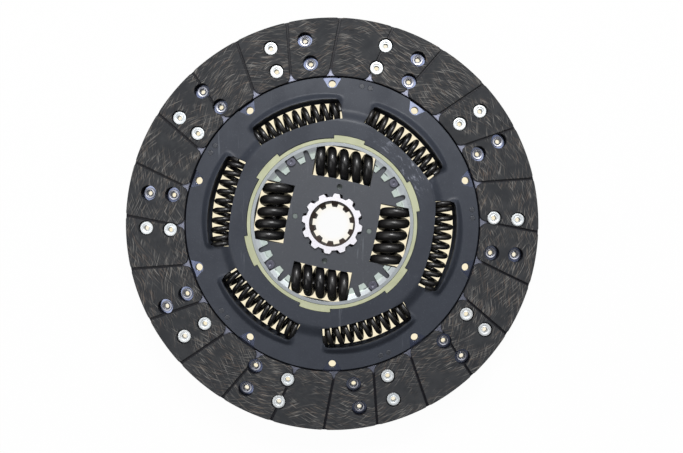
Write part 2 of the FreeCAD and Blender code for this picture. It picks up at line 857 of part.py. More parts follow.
# Diaphragm washer: a flat rim on the friction ring's ledge, fingers pressed down on the front drive plate

def diaphragm_washer():
    """The bright washer with four groups of four fingers."""
    body = body_of("diaphragm_washer")
    rim_low = "(%s + washer_lift)" % DRIVE_TOP
    rim_top = "(%s + washer_lift + washer_thick)" % DRIVE_TOP
    tip_low = "(%s + running_gap/3)" % DRIVE_TOP
    bend_low = "(%s + running_gap)" % DRIVE_TOP
    turned(body, "Washer", [
        ("washer_outer", rim_low),
        ("washer_outer", rim_top),
        ("slot_end", rim_top),
        ("washer_bend", bend_low + " + washer_thick"),
        ("washer_tip", tip_low + " + washer_thick"),
        ("washer_tip", tip_low),
        ("washer_bend", bend_low),
        ("slot_end", rim_low),
    ])
    inside = "washer_tip - washer_thick"
    gap = sketch_on(body, "SpringGapOutline", "XY_Plane", turn="spring_turn")
    half = "(%s + seat_gap)" % INNER_END
    edge = "sqrt(slot_end^2 - %s^2)" % half
    outline(gap, [
        (edge, "-" + half, "slot_end"),
        (edge, half),
        ("inner_ring - inner_coil", half),
        ("inner_ring - inner_coil", "-" + half),
    ])
    slots = [pocketed(body, "SpringGap", gap)]

    for name, angle in (("SlotBefore", "-slot_turn"), ("SlotAfter", "slot_turn")):
        slot = sketch_on(body, name + "Outline", "XY_Plane", turn="(spring_turn + 45 + %s)" % angle)
        outline(slot, bowed("slot_end", "slot_drop", "slot_half") + [
            (inside, "slot_half_tip"),
            (inside, "-slot_half_tip"),
        ])
        slots.append(pocketed(body, name, slot))

    head = sketch_on(body, "HeadSlotOutline", "XY_Plane", turn="(spring_turn + 45)")
    outline(head, [
        ("slot_end", "-head_slot_half"),
        ("slot_end", "head_slot_half"),
        (inside, "head_slot_half_tip"),
        (inside, "-head_slot_half_tip"),
    ])
    slots.append(pocketed(body, "HeadSlot", head))
    repeated(body, "Fingers", slots, "inner_count")


diaphragm_washer()


# Friction washers with pegs: each lies between the flange and a drive plate and turns with the plate

def peg_washer(label, angle):
    """A plastic ring with two pegs in the drive plate's holes, made as the front one."""
    body = body_of(label)
    low = "(%s + running_gap)" % FLANGE_TOP
    high = "(%s - running_gap)" % DRIVE_LOW
    turned(body, "Ring", [
        ("peg_washer_inner", low),
        ("peg_washer_outer", low),
        ("peg_washer_outer", high),
        ("peg_washer_inner", high),
    ])
    sketch = sketch_on(body, "PegOutline", "XY_Plane", turn=angle, level=high)
    circle(sketch, "peg_radius", "peg_ring")
    circle(sketch, "peg_radius", "-peg_ring")
    padded(body, "Pegs", sketch, "drive_thick")
    return body


peg_washer("front_peg_washer", "spring_turn")
turn_over(peg_washer("rear_peg_washer", "(90 - spring_turn)"), "2*" + DAMPER_MIDDLE)


# Hub: external teeth with lash in the drive plates, a collar behind them, and the splined bore for the shaft

def hub():
    """The toothed and splined hub."""
    body = body_of("hub")
    collar_top = "(%s - running_gap)" % REAR_DRIVE_LOW
    turned(body, "Barrel", [
        ("spline_minor", "hub_bottom"),
        ("hub_root", "hub_bottom"),
        ("hub_root", collar_top + " - collar_thick"),
        ("hub_collar", collar_top + " - collar_thick"),
        ("hub_collar", collar_top),
        ("hub_root", collar_top),
        ("hub_root", "hub_top"),
        ("spline_minor", "hub_top"),
    ])
    tooth = sketch_on(body, "ToothOutline", "XY_Plane", turn="hub_turn", level=collar_top)
    outline(tooth, [
        polar("(hub_root - tooth_play)", "-tooth_half_root"),
        polar("hub_tip", "-tooth_half_tip") + ("hub_tip",),
        polar("hub_tip", "tooth_half_tip"),
        polar("(hub_root - tooth_play)", "tooth_half_root"),
    ])
    raised = padded(body, "Tooth", tooth, "hub_top - " + collar_top)
    repeated(body, "Teeth", [raised], "tooth_count")

    gap = sketch_on(body, "SplineOutline", "XY_Plane", turn="spline_turn")
    outline(gap, [
        ("spline_minor - spline_gap_half", "-spline_gap_half"),
        ("spline_major", "-spline_gap_half"),
        ("spline_major", "spline_gap_half"),
        ("spline_minor - spline_gap_half", "spline_gap_half"),
    ])
    gap_cut = pocketed(body, "SplineGap", gap)
    repeated(body, "Spline", [gap_cut], "spline_count")
    inside = "(spline_minor - tooth_play)"
    for name, end, way in (("TopChamfer", "hub_top", "-"), ("LowChamfer", "hub_bottom", "+")):
        turned_away(body, name, [
            (inside, end),
            ("hub_chamfer", end),
            (inside, "%s %s (hub_chamfer - %s)" % (end, way, inside)),
        ])


def centring_bush():
    """The plastic bush that centres the flange on the hub's teeth."""
    body = body_of("centring_bush")
    low = "(%s + running_gap)" % REAR_DRIVE_TOP
    high = "(%s - running_gap)" % DRIVE_LOW
    turned(body, "Bush", [
        ("hub_tip + tooth_play", low),
        ("flange_bore - rivet_play", low),
        ("flange_bore - rivet_play", high),
        ("hub_tip + tooth_play", high),
    ])


hub()
centring_bush()


# Damper springs: a helix with closed ends on a straight or bowed middle line.
# The wire is drawn with flat sides, so that each turn keeps few faces.

def coil(name, length, bow, steps, sides):
    """The outer or inner spring, along Y, bowed about a point bow away towards the disc's axis."""
    wire_radius = number("%s_wire" % name)
    mean_radius = number("%s_coil" % name) - wire_radius
    turns = number("%s_turns" % name)
    closed = number("%s_closed" % name)
    first_turn = number("%s_start" % name)
    closed_pitch = 2 * wire_radius
    run = length - 2 * wire_radius
    free_pitch = (run - 2 * closed * closed_pitch) / (turns - 2 * closed)

    def advance(turn):
        """How far along the spring the wire has come after so many turns."""
        if turn < closed:
            return closed_pitch * turn
        if turn < turns - closed:
            return closed_pitch * closed + free_pitch * (turn - closed)
        return run - closed_pitch * (turns - turn)

    sections = []
    count = round(turns * steps)
    for index in range(count + 1):
        turn = turns * index / count
        tilt = (advance(turn) - run / 2) / bow
        outward = FreeCAD.Vector(math.cos(tilt), math.sin(tilt), 0)
        onward = FreeCAD.Vector(-math.sin(tilt), math.cos(tilt), 0)
        middle = outward * bow - FreeCAD.Vector(bow, 0, 0)
        angle = 2 * math.pi * (turn - first_turn)
        radial = outward * math.sin(angle) + FreeCAD.Vector(0, 0, math.cos(angle))
        section = []
        for side in range(sides):
            corner = 2 * math.pi * (side + 0.5) / sides
            reach = mean_radius + wire_radius * math.cos(corner)
            section.append(middle + radial * reach + onward * (wire_radius * math.sin(corner)))
        sections.append(section)

    faces = []
    for start, end in zip(sections, sections[1:]):
        for side in range(sides):
            other = (side + 1) % sides
            faces.append(Part.Face(Part.makePolygon([start[side], start[other], end[other], start[side]])))
            faces.append(Part.Face(Part.makePolygon([start[side], end[other], end[side], start[side]])))
    for section in (sections[0], sections[-1]):
        faces.append(Part.Face(Part.makePolygon(section + [section[0]])))
    shell = Part.makeShell(faces)
    shell.sewShape()
    spring = Part.makeSolid(shell)
    if spring.Volume < 0:
        spring.reverse()
    return spring


def spring_set(name, count, ring, shape):
    """One node for each spring, set round the axis at the flange's middle."""
    for index in range(count):
        spring = doc.addObject("Part::Feature", "%s_%d" % (name, index + 1))
        spring.Label = "%s_%d" % (name, index + 1)
        spring.Shape = shape
        turn = FreeCAD.Rotation(FreeCAD.Vector(0, 0, 1), number("spring_turn") + 360.0 * index / count)
        place = turn.multVec(FreeCAD.Vector(ring, 0, number(DAMPER_MIDDLE)))
        spring.Placement = FreeCAD.Placement(place, turn)


OUTER_STEPS = 8
OUTER_SIDES = 5
INNER_STEPS = 10
INNER_SIDES = 6

outer_spring = coil("outer", number("outer_length"), number(BOW), OUTER_STEPS, OUTER_SIDES)
spring_set("outer_spring", int(number("outer_count")), number("outer_ring"), outer_spring)

# The inner springs are straight: their bow is so wide that it doesn't show.
STRAIGHT = 1.0e6
inner_spring = coil("inner", number("inner_length"), STRAIGHT, INNER_STEPS, INNER_SIDES)
spring_set("inner_spring", int(number("inner_count")), number("inner_ring"), inner_spring)


# Every feature has to be sound before anything is written.

doc.recompute()
for item in doc.Objects:
    for fault in ("Invalid", "Error"):
        if fault in item.State:
            raise RuntimeError("%s is %s" % (item.Name, fault))

os.makedirs("parts", exist_ok=True)
for item in doc.Objects:
    if item.TypeId not in ("PartDesign::Body", "Part::Feature"):
        continue
    shape = item.Shape
    if shape.isNull() or not shape.isValid():
        raise RuntimeError("%s has no sound shape" % item.Label)
    shape.exportStep("parts/%s.step" % item.Label)
    print("%s: %d solids, %.0f mm3" % (item.Label, len(shape.Solids), shape.Volume))
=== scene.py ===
"""Looks of a clutch disc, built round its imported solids.

Each sub-assembly is a class that holds its sizes in millimetres, builds its pieces and gives them
their finish. Z runs along the disc's axis towards the front, and all objects stay at the origin.
"""

import logging
from dataclasses import dataclass, field
from enum import Enum
from math import atan2, cos, degrees, hypot, pi, radians, sin, sqrt, tan, tau
from typing import Callable, Iterable

import bpy
from mathutils import Matrix, Vector

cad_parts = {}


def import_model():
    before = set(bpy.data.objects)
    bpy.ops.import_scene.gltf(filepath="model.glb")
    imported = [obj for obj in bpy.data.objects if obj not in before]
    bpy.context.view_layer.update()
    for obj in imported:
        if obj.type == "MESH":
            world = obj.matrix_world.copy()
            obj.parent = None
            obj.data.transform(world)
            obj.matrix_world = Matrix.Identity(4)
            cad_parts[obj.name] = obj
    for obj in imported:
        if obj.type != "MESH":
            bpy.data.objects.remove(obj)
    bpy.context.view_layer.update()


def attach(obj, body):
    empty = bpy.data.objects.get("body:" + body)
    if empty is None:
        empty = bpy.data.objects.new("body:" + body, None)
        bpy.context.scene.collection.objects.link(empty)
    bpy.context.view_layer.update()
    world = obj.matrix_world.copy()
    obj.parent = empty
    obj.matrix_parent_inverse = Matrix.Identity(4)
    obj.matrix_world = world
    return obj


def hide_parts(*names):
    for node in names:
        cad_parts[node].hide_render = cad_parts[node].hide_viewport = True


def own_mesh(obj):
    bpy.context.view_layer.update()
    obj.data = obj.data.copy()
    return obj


log = logging.getLogger("clutch_disc")

MM = 0.001

# Angles in degrees and lengths in millimetres that more than one sub-assembly uses
SPRING_TURN = -11.6
DAMPER_MIDDLE = -2.4
PADDLE_TURN = 31.85
OUTER_COUNT = 6
OUTER_RING = 87.1
OUTER_BOW = 158.66

# Levels between which a cutter goes right through the front cover
THROUGH = (-5.0, 20.0)

Point = tuple[float, float]
Spot = tuple[float, float, float]
Colour = tuple[float, float, float]
Object = bpy.types.Object
Node = bpy.types.Node
Socket = bpy.types.NodeSocket
Value = float | tuple | Socket


class Body(Enum):
    """The rigid bodies that the pieces made here ride on."""

    FRICTION_DISC = "friction_disc"
    FLANGE = "flange"


class Side(Enum):
    """The two faces of the disc."""

    FRONT = 1
    REAR = -1

    def over(self) -> Matrix:
        """The turn that brings a piece of the front to this side."""
        return Matrix.Rotation(pi, 4, "X") if self is Side.REAR else Matrix.Identity(4)


# Working with objects


def activate(obj: Object) -> None:
    """Makes an object the only selected and active one."""
    bpy.ops.object.select_all(action="DESELECT")
    obj.select_set(True)
    bpy.context.view_layer.objects.active = obj


def link(name: str, data: bpy.types.ID) -> Object:
    """A new object in the scene for a mesh, curve, lamp or camera."""
    obj = bpy.data.objects.new(name, data)
    bpy.context.scene.collection.objects.link(obj)
    return obj


def edit(piece: Object, operator: Callable, **settings: object) -> None:
    """Runs a mesh operator on the whole of a piece.

    Args:
        piece: the piece that is edited.
        operator: the operator, from bpy.ops.mesh.
        settings: the operator's own options.
    """
    activate(piece)
    bpy.ops.object.mode_set(mode="EDIT")
    bpy.ops.mesh.select_all(action="SELECT")
    operator(**settings)
    bpy.ops.object.mode_set(mode="OBJECT")


def apply_all(obj: Object) -> None:
    """Applies every modifier of an object in order."""
    activate(obj)
    for modifier in list(obj.modifiers):
        bpy.ops.object.modifier_apply(modifier=modifier.name)


def smooth(obj: Object, angle: float) -> None:
    """Shades an object smooth, but keeps edges sharper than the angle in degrees."""
    activate(obj)
    bpy.ops.object.shade_smooth_by_angle(angle=radians(angle))


def turned(angle: float) -> Matrix:
    """A turn about the disc's axis by an angle in degrees."""
    return Matrix.Rotation(radians(angle), 4, "Z")


def copy_placed(source: Object, name: str, place: Matrix) -> Object:
    """A copy with a mesh of its own, whose place is in that mesh.

    Args:
        source: the object that is copied.
        name: the copy's name.
        place: where the copy goes, from where the source is.

    Returns:
        The copy, at the origin.
    """
    copy = link(name, source.data.copy())
    copy.data.transform(place)
    if place.determinant() < 0:
        copy.data.flip_normals()
    return copy


def join(pieces: list[Object], name: str) -> Object:
    """Joins pieces into one object.

    Args:
        pieces: what is joined; the first one stays.
        name: the joined object's name.

    Returns:
        The joined object.
    """
    activate(pieces[0])
    for piece in pieces[1:]:
        piece.select_set(True)
    bpy.ops.object.join()
    pieces[0].name = name
    pieces[0].data.name = name
    return pieces[0]


def lathe(name: str, profile: list[Point], steps: int) -> Object:
    """Turns a closed profile about the disc's axis.

    Args:
        name: the piece's name.
        profile: radii and levels in millimetres.
        steps: how many sides the round has.

    Returns:
        The turned piece.
    """
    mesh = bpy.data.meshes.new(name)
    points = [(radius * MM, 0.0, level * MM) for radius, level in profile]
    mesh.from_pydata(points, [(index, (index + 1) % len(points)) for index in range(len(points))], [])
    piece = link(name, mesh)
    screw = piece.modifiers.new("lathe", "SCREW")
    screw.axis = "Z"
    screw.steps = steps
    screw.render_steps = steps
    screw.use_merge_vertices = True
    screw.merge_threshold = 0.001 * MM
    apply_all(piece)
    face_outward(piece)
    return piece


def face_outward(piece: Object) -> None:
    """Turns all faces of a closed piece outward."""
    edit(piece, bpy.ops.mesh.normals_make_consistent, inside=False)


def prism(name: str, corners: list[Point], low: float, high: float) -> Object:
    """Raises an outline into an upright prism.

    Args:
        name: the piece's name.
        corners: the outline, in millimetres.
        low: the level of the lower end, in millimetres.
        high: the level of the upper end, in millimetres.

    Returns:
        The prism.
    """
    mesh = bpy.data.meshes.new(name)
    mesh.from_pydata([(x * MM, y * MM, low * MM) for x, y in corners], [], [list(range(len(corners)))])
    piece = link(name, mesh)
    rise = {"value": (0.0, 0.0, (high - low) * MM)}
    edit(piece, bpy.ops.mesh.extrude_region_move, TRANSFORM_OT_translate=rise)
    face_outward(piece)
    return piece


def arc(radius: float, angles: Iterable[float], x: float = 0.0, y: float = 0.0) -> list[Point]:
    """Points of a circle about a spot, at angles in radians."""
    return [(x + radius * cos(angle), y + radius * sin(angle)) for angle in angles]


def circle(radius: float, x: float, y: float, sides: int) -> list[Point]:
    """The corners of a round outline about a spot."""
    return arc(radius, [tau * index / sides for index in range(sides)], x, y)


def around(source: Object, count: int, first: float) -> list[Object]:
    """Repeats a cutter round the axis.

    Args:
        source: the cutter, which is removed.
        count: how many copies there are.
        first: the angle of the first copy, in degrees.

    Returns:
        The copies.
    """
    angles = [first + 360.0 * index / count for index in range(count)]
    copies = [copy_placed(source, source.name, turned(angle)) for angle in angles]
    bpy.data.objects.remove(source)
    return copies


def cut(piece: Object, cutters: list[Object]) -> None:
    """Takes cutters out of a piece.

    Args:
        piece: the piece that is cut.
        cutters: closed shapes, which are removed.
    """
    tool = join(cutters, "cutter")
    boolean = piece.modifiers.new("cut", "BOOLEAN")
    boolean.operation = "DIFFERENCE"
    boolean.solver = "EXACT"
    boolean.object = tool
    apply_all(piece)
    bpy.data.objects.remove(tool)


def ease(value: float, low: float, high: float) -> float:
    """A smooth step from 0 at low to 1 at high, which may lie either way round."""
    share = min(1.0, max(0.0, (value - low) / (high - low)))
    return share * share * (3 - 2 * share)


# Materials


class Tree:
    """Adds and joins the nodes of one material or group."""

    def __init__(self, tree: bpy.types.NodeTree) -> None:
        """Keeps the node tree that is worked on."""
        self.tree = tree

    def set(self, socket: Socket, value: Value) -> None:
        """Feeds an input.

        Args:
            socket: the input.
            value: a plain value, or an output that is joined to it.
        """
        if isinstance(value, Socket):
            self.tree.links.new(value, socket)
        elif isinstance(value, tuple) and socket.type == "RGBA" and len(value) == 3:
            socket.default_value = (*value, 1.0)
        else:
            socket.default_value = value

    def feed(self, node: Node, **values: Value) -> None:
        """Feeds inputs of a node by name, with an underscore for a space."""
        for title, value in values.items():
            self.set(node.inputs[title.replace("_", " ")], value)

    def add(self, kind: str, *values: Value, **settings: object) -> Node:
        """Adds a node.

        Args:
            kind: the node's type, without its leading ShaderNode.
            values: the inputs in order; None leaves an input as it is.
            settings: the node's own options.

        Returns:
            The node.
        """
        node = self.tree.nodes.new("ShaderNode" + kind)
        for name, value in settings.items():
            setattr(node, name, value)
        for socket, value in zip(node.inputs, values):
            if value is not None:
                self.set(socket, value)
        return node

    def math(self, operation: str, *values: Value) -> Socket:
        """The result of a Math node."""
        return self.add("Math", *values, operation=operation).outputs[0]

    def times(self, first: Value, second: Value) -> Socket:
        """A product."""
        return self.math("MULTIPLY", first, second)

    def ramp(self, value: Value, low: float, high: float, to_low: float = 0.0,
             to_high: float = 1.0) -> Socket:
        """A value moved smoothly from one range to another."""
        node = self.add("MapRange", value, low, high, to_low, to_high, interpolation_type="SMOOTHSTEP")
        return node.outputs[0]

    def mix(self, factor: Value, first: Value, second: Value) -> Socket:
        """Mixes two colours.

        Args:
            factor: the second colour's share.
            first: the colour at a share of 0.
            second: the colour at a share of 1.

        Returns:
            The mixed colour.
        """
        node = self.add("Mix", data_type="RGBA")
        self.set(node.inputs[0], factor)
        self.set(node.inputs[6], first)
        self.set(node.inputs[7], second)
        return node.outputs[2]

    def noise(self, vector: Value, scale: Value, detail: float = 3.0,
              rough: float = 0.55) -> Socket:
        """Plain noise, with so many features to a unit of the vector."""
        node = self.add("TexNoise", noise_dimensions="3D")
        self.feed(node, Vector=vector, Scale=scale, Detail=detail, Roughness=rough)
        return node.outputs[0]

    def place(self) -> Socket:
        """The object's own coordinates, in metres."""
        return self.add("TexCoord").outputs["Object"]

    def upward(self, vector: Value) -> Socket:
        """The Z part of a vector."""
        return self.add("SeparateXYZ", vector).outputs[2]

    def polar(self, vector: Value) -> tuple[Socket, Socket]:
        """The distance from the disc's axis in metres and the angle round it in radians."""
        x, y, _ = self.add("SeparateXYZ", vector).outputs
        square = self.math("ADD", self.times(x, x), self.times(y, y))
        return self.math("SQRT", square), self.math("ARCTAN2", y, x)


def new_group(name: str, inputs: tuple[str, ...], outputs: tuple[str, ...]) -> tuple[Tree, dict, Node]:
    """Starts a node group that reads a vector and some numbers.

    Args:
        name: the group's name.
        inputs: the names of the numbers.
        outputs: the names of the numbers that it puts out.

    Returns:
        The tree, its inputs by name, and its output node.
    """
    group = bpy.data.node_groups.new(name, "ShaderNodeTree")
    group.interface.new_socket("Vector", in_out="INPUT", socket_type="NodeSocketVector")
    for way, titles in (("INPUT", inputs), ("OUTPUT", outputs)):
        for title in titles:
            group.interface.new_socket(title, in_out=way, socket_type="NodeSocketFloat")
    start = group.nodes.new("NodeGroupInput")
    end = group.nodes.new("NodeGroupOutput")
    return Tree(group), {socket.name: socket for socket in start.outputs if socket.name}, end


def grain_group() -> bpy.types.NodeTree:
    """Fine grain over broad clouds: a mask and a height."""
    tree, ins, end = new_group("Grain", ("Fine scale", "Broad scale"), ("Mask", "Height"))
    fine = tree.noise(ins["Vector"], ins["Fine scale"], 2.0, 0.6)
    broad = tree.noise(ins["Vector"], ins["Broad scale"], 4.0, 0.6)
    tree.feed(end, Mask=tree.ramp(broad, 0.35, 0.68))
    tree.feed(end, Height=fine)
    return tree.tree


def scuff_group() -> bpy.types.NodeTree:
    """Thin broken scratches in two directions: a mask."""
    tree, ins, end = new_group("Scuffs", ("Scale", "Amount"), ("Mask",))
    masks = []
    for turn, seed in ((0.5, 3.1), (-0.8, 7.7)):
        mapped = tree.add("Mapping", ins["Vector"], (seed, seed, 0.0), (0.0, 0.0, turn), (1.0, 0.06, 1.0))
        line = tree.noise(mapped.outputs[0], ins["Scale"], 3.0, 0.7)
        masks.append(tree.ramp(line, 0.64, 0.70))
    patches = tree.ramp(tree.noise(ins["Vector"], 28.0), 0.5, 0.7)
    both = tree.math("MAXIMUM", masks[0], masks[1])
    tree.feed(end, Mask=tree.times(tree.times(both, patches), ins["Amount"]))
    return tree.tree


def lathe_group() -> bpy.types.NodeTree:
    """Turning marks about the disc's axis: a height."""
    tree, ins, end = new_group("Turning marks", ("Rings per metre",), ("Height",))
    distance, _ = tree.polar(ins["Vector"])
    spread = tree.add("CombineXYZ", tree.times(distance, ins["Rings per metre"]), 0.0, 0.0)
    tree.feed(end, Height=tree.noise(spread.outputs[0], 1.0, 3.0, 0.7))
    return tree.tree


def yarn_group() -> bpy.types.NodeTree:
    """Broken strands of yarn wound in waves round a friction ring: a mask."""
    tree, ins, end = new_group("Wound yarn", ("Waves", "Depth", "Phase", "Sparse"), ("Mask",))
    distance, angle = tree.polar(ins["Vector"])
    wobble = tree.times(tree.noise(ins["Vector"], 30.0, 1.0), 0.004)
    swing = tree.math("SINE", tree.math("ADD", tree.times(angle, ins["Waves"]), ins["Phase"]))
    across = tree.math("ADD", tree.math("ADD", distance, tree.times(swing, ins["Depth"])), wobble)
    spread = tree.add("CombineXYZ", tree.times(across, 1500.0), tree.times(angle, 11.0),
                      ins["Phase"])
    strands = tree.noise(spread.outputs[0], 1.0, 1.5, 0.5)
    line = tree.ramp(tree.math("SUBTRACT", strands, ins["Sparse"]), 0.0, 0.10)
    patches = tree.ramp(tree.noise(ins["Vector"], 55.0, 2.0), 0.32, 0.52)
    tree.feed(end, Mask=tree.times(line, patches))
    return tree.tree


class Groups:
    """The shared node groups, each made once."""

    makers: dict[str, Callable[[], bpy.types.NodeTree]] = {
        "Grain": grain_group, "Scuffs": scuff_group, "Turning marks": lathe_group, "Wound yarn": yarn_group}

    @classmethod
    def use(cls, tree: Tree, name: str, **values: Value) -> dict[str, Socket]:
        """Places a group in a material.

        Args:
            tree: the material's tree.
            name: the group's name.
            values: the inputs; an underscore in a name stands for a space.

        Returns:
            The group's outputs by name.
        """
        group = bpy.data.node_groups.get(name) or cls.makers[name]()
        node = tree.tree.nodes.new("ShaderNodeGroup")
        node.node_tree = group
        tree.feed(node, **values)
        return {socket.name: socket for socket in node.outputs}


class Finish:
    """A finish that is made into a material once; the dataclasses below say how."""

    name: str
    made: dict[object, bpy.types.Material] = {}

    def material(self) -> bpy.types.Material:
        """The material of this finish."""
        if self not in Finish.made:
            material = bpy.data.materials.new(self.name)
            material.use_nodes = True
            tree = Tree(material.node_tree)
            self.paint(tree, material.node_tree.nodes["Principled BSDF"])
            Finish.made[self] = material
        return Finish.made[self]

    def paint(self, tree: Tree, shader: Node) -> None:
        """Adds the nodes of the finish in front of its shader."""
        raise NotImplementedError


def bump(tree: Tree, shader: Node, height: Value, distance: float,
         edge: float = 0.3) -> Socket:
    """Feeds a height into the shader's normal, over edges that look rounded.

    Args:
        tree: the material's tree.
        shader: the shader that gets the normal.
        height: the height, from 0 to 1.
        distance: how deep that height is, in millimetres.
        edge: the radius of the edges, in millimetres.

    Returns:
        A mask that is 1 on the rounded edges.
    """
    soft = tree.add("Bevel", samples=4)
    tree.feed(soft, Radius=edge * MM)
    node = tree.add("Bump")
    tree.feed(node, Strength=0.6, Distance=distance * MM, Height=height, Normal=soft.outputs[0])
    tree.feed(shader, Normal=node.outputs[0])
    flat = tree.add("NewGeometry").outputs["Normal"]
    same = tree.add("VectorMath", soft.outputs[0], flat, operation="DOT_PRODUCT").outputs["Value"]
    return tree.ramp(same, 0.99, 0.86)


def overlay(tree: Tree, shader: Node, mask: Value, colour: Colour) -> None:
    """Lays a colour over the shader's present one where the mask is 1."""
    before = shader.inputs["Base Color"].links[0].from_socket
    tree.feed(shader, Base_Color=tree.mix(mask, before, colour))


@dataclass(frozen=True)
class FrictionFinish(Finish):
    """Moulded friction material with wound yarn in it, dark grooves, painted shade on its walls and rounded edges,
    and bare steel at the grooves' inner mouths.
    """

    name: str = "friction_facing"
    ground: Colour = (0.032, 0.034, 0.038)
    dust: Colour = (0.044, 0.046, 0.050)
    floor: Colour = (0.008, 0.008, 0.012)
    steel: Colour = (0.21, 0.22, 0.28)
    # painted shade for upright walls and rounded edges
    wall: Colour = (0.004, 0.004, 0.007)
    face: float = 4.7
    sunk: Point = (0.4, 0.8)
    mouth: float = 118.4
    mouth_reach: Point = (6.5, 3.0)
    rough: float = 0.8
    windings: tuple[tuple[float, float, float, float, Colour, float], ...] = (
        (9.0, 0.009, 0.0, 0.60, (0.25, 0.24, 0.225), 0.8),
        (9.0, -0.009, 0.7, 0.60, (0.25, 0.24, 0.225), 0.8),
        (7.0, 0.012, 2.1, 0.61, (0.17, 0.125, 0.10), 0.7),
        (11.0, -0.008, 4.4, 0.61, (0.18, 0.155, 0.13), 0.7),
        (8.0, 0.010, 5.2, 0.57, (0.016, 0.016, 0.018), 0.6),
    )

    def paint(self, tree: Tree, shader: Node) -> None:
        """Grainy ground, crossing windings of yarn, the grooves' dark floors, and painted shade on the walls and
        rounded edges.
        """
        place = tree.place()
        grain = Groups.use(tree, "Grain", Vector=place, Fine_scale=1500.0, Broad_scale=90.0)
        colour = tree.mix(grain["Mask"], self.ground, self.dust)
        height = grain["Height"]
        for waves, depth, phase, sparse, tint, amount in self.windings:
            yarn = Groups.use(
                tree, "Wound yarn", Vector=place, Waves=waves, Depth=depth, Phase=phase, Sparse=sparse)
            colour = tree.mix(tree.times(yarn["Mask"], amount), colour, tint)
            height = tree.math("ADD", height, tree.times(yarn["Mask"], 0.3))
        edges = bump(tree, shader, height, 0.10, 0.9)
        level = tree.math("ABSOLUTE", tree.upward(place))
        facing = tree.upward(tree.add("NewGeometry").outputs["True Normal"])
        flat = tree.ramp(tree.math("ABSOLUTE", facing), 0.5, 0.9)
        below = tree.ramp(level, *((self.face - depth) * MM for depth in self.sunk))
        low = tree.times(below, flat)
        clean = tree.times(low, tree.math("SUBTRACT", 1.0, edges))
        # painted shade: upright walls and the rounded edges from the bevel mask
        upright = tree.math("MAXIMUM", tree.math("SUBTRACT", 1.0, flat), tree.times(edges, 0.8))
        distance, _ = tree.polar(place)
        near = tree.ramp(distance, *((self.mouth + reach) * MM for reach in self.mouth_reach))
        mouth = tree.times(clean, near)
        colour = tree.mix(mouth, tree.mix(clean, colour, self.floor), self.steel)
        colour = tree.mix(tree.times(upright, 0.9), colour, self.wall)
        tree.feed(shader, Base_Color=colour)
        tree.feed(shader, Metallic=tree.times(mouth, 0.9))
        tree.feed(shader, Roughness=tree.ramp(clean, 0.0, 1.0, self.rough, 0.35))
        tree.feed(shader, Specular_IOR_Level=0.22)


@dataclass(frozen=True)
class SheetFinish(Finish):
    """Sheet metal with a fine grain, clouds, dust, and scuffs where the bare metal comes through."""

    name: str
    colour: Colour
    cloud: Colour
    bare: Colour
    scuffs: float = 0.3
    worn: float = 0.25
    dust: float = 0.3
    metallic: float = 0.0
    rough: float = 0.42
    grain: float = 900.0
    shine: float = 0.5

    def paint(self, tree: Tree, shader: Node) -> None:
        """Clouds of two colours, scuffs and dust on top, worn edges, and a grain in the surface."""
        place = tree.place()
        grain = Groups.use(tree, "Grain", Vector=place, Fine_scale=self.grain, Broad_scale=38.0)
        scuffs = Groups.use(tree, "Scuffs", Vector=place, Scale=260.0, Amount=self.scuffs)
        base = tree.mix(grain["Mask"], self.colour, self.cloud)
        specks = tree.ramp(tree.noise(place, 1900.0, 1.0), 0.68, 0.74)
        base = tree.mix(tree.times(specks, self.dust), base, self.bare)
        edges = bump(tree, shader, grain["Height"], 0.03)
        marks = tree.math("MAXIMUM", scuffs["Mask"], tree.times(edges, self.worn))
        tree.feed(shader, Base_Color=tree.mix(marks, base, self.bare))
        uneven = tree.times(tree.math("SUBTRACT", grain["Mask"], 0.5), 0.16)
        tree.feed(shader, Roughness=tree.math("ADD", self.rough, uneven))
        tree.feed(shader, Metallic=self.metallic)
        tree.feed(shader, Specular_IOR_Level=self.shine)


@dataclass(frozen=True)
class RivetFinish(SheetFinish):
    """Plated rivets whose rolled ends, near the disc's middle plane, are darker mirrors: painted shade for ends
    that sit down in the clearance holes.
    """

    # painted shade colour of the rolled ends
    shaded_end_colour: Colour = (0.34, 0.35, 0.40)
    end_reach: float = 1.3

    def paint(self, tree: Tree, shader: Node) -> None:
        """The plain finish, with the rolled ends as darker mirrors: painted shade."""
        super().paint(tree, shader)
        level = tree.math("ABSOLUTE", tree.upward(tree.place()))
        near = tree.ramp(level, self.end_reach * MM, self.end_reach * 0.8 * MM)
        # painted shade: the rolled ends, down in the clearance holes, go darker
        overlay(tree, shader, near, self.shaded_end_colour)
        tree.feed(shader, Metallic=tree.ramp(near, 0.0, 1.0, self.metallic, 1.0))
        tree.feed(shader, Roughness=tree.ramp(near, 0.0, 1.0, self.rough, 0.30))


@dataclass(frozen=True)
class PressedFinish(SheetFinish):
    """Sheet metal with streaks of painted highlight on one side of its raised ring."""

    # painted highlight colour, laid in streaks on the raised ring on the key light's side
    painted_sheen: Colour = (0.34, 0.36, 0.43)
    sheen_place: Spot = (0.062, 0.052, 0.0)
    sheen_reach: float = 0.045

    def paint(self, tree: Tree, shader: Node) -> None:
        """The plain finish, and streaks of painted highlight on the raised ring about one spot."""
        super().paint(tree, shader)
        place = tree.place()
        distance, angle = tree.polar(place)
        raised = tree.times(tree.ramp(distance, 0.090, 0.082), tree.ramp(distance, 0.066, 0.070))
        apart = tree.add("VectorMath", place, self.sheen_place, operation="DISTANCE").outputs["Value"]
        near = tree.ramp(apart, self.sheen_reach, self.sheen_reach * 0.2)
        across = tree.times(distance, 420.0)
        spread = tree.add("CombineXYZ", across, tree.times(angle, 9.0), 0.0)
        patches = tree.ramp(tree.noise(spread.outputs[0], 1.0, 6.0, 0.75), 0.52, 0.70)
        # painted highlight: streaks on the raised ring, only about one spot on its upper right
        mask = tree.times(tree.times(raised, near), patches)
        overlay(tree, shader, mask, self.painted_sheen)


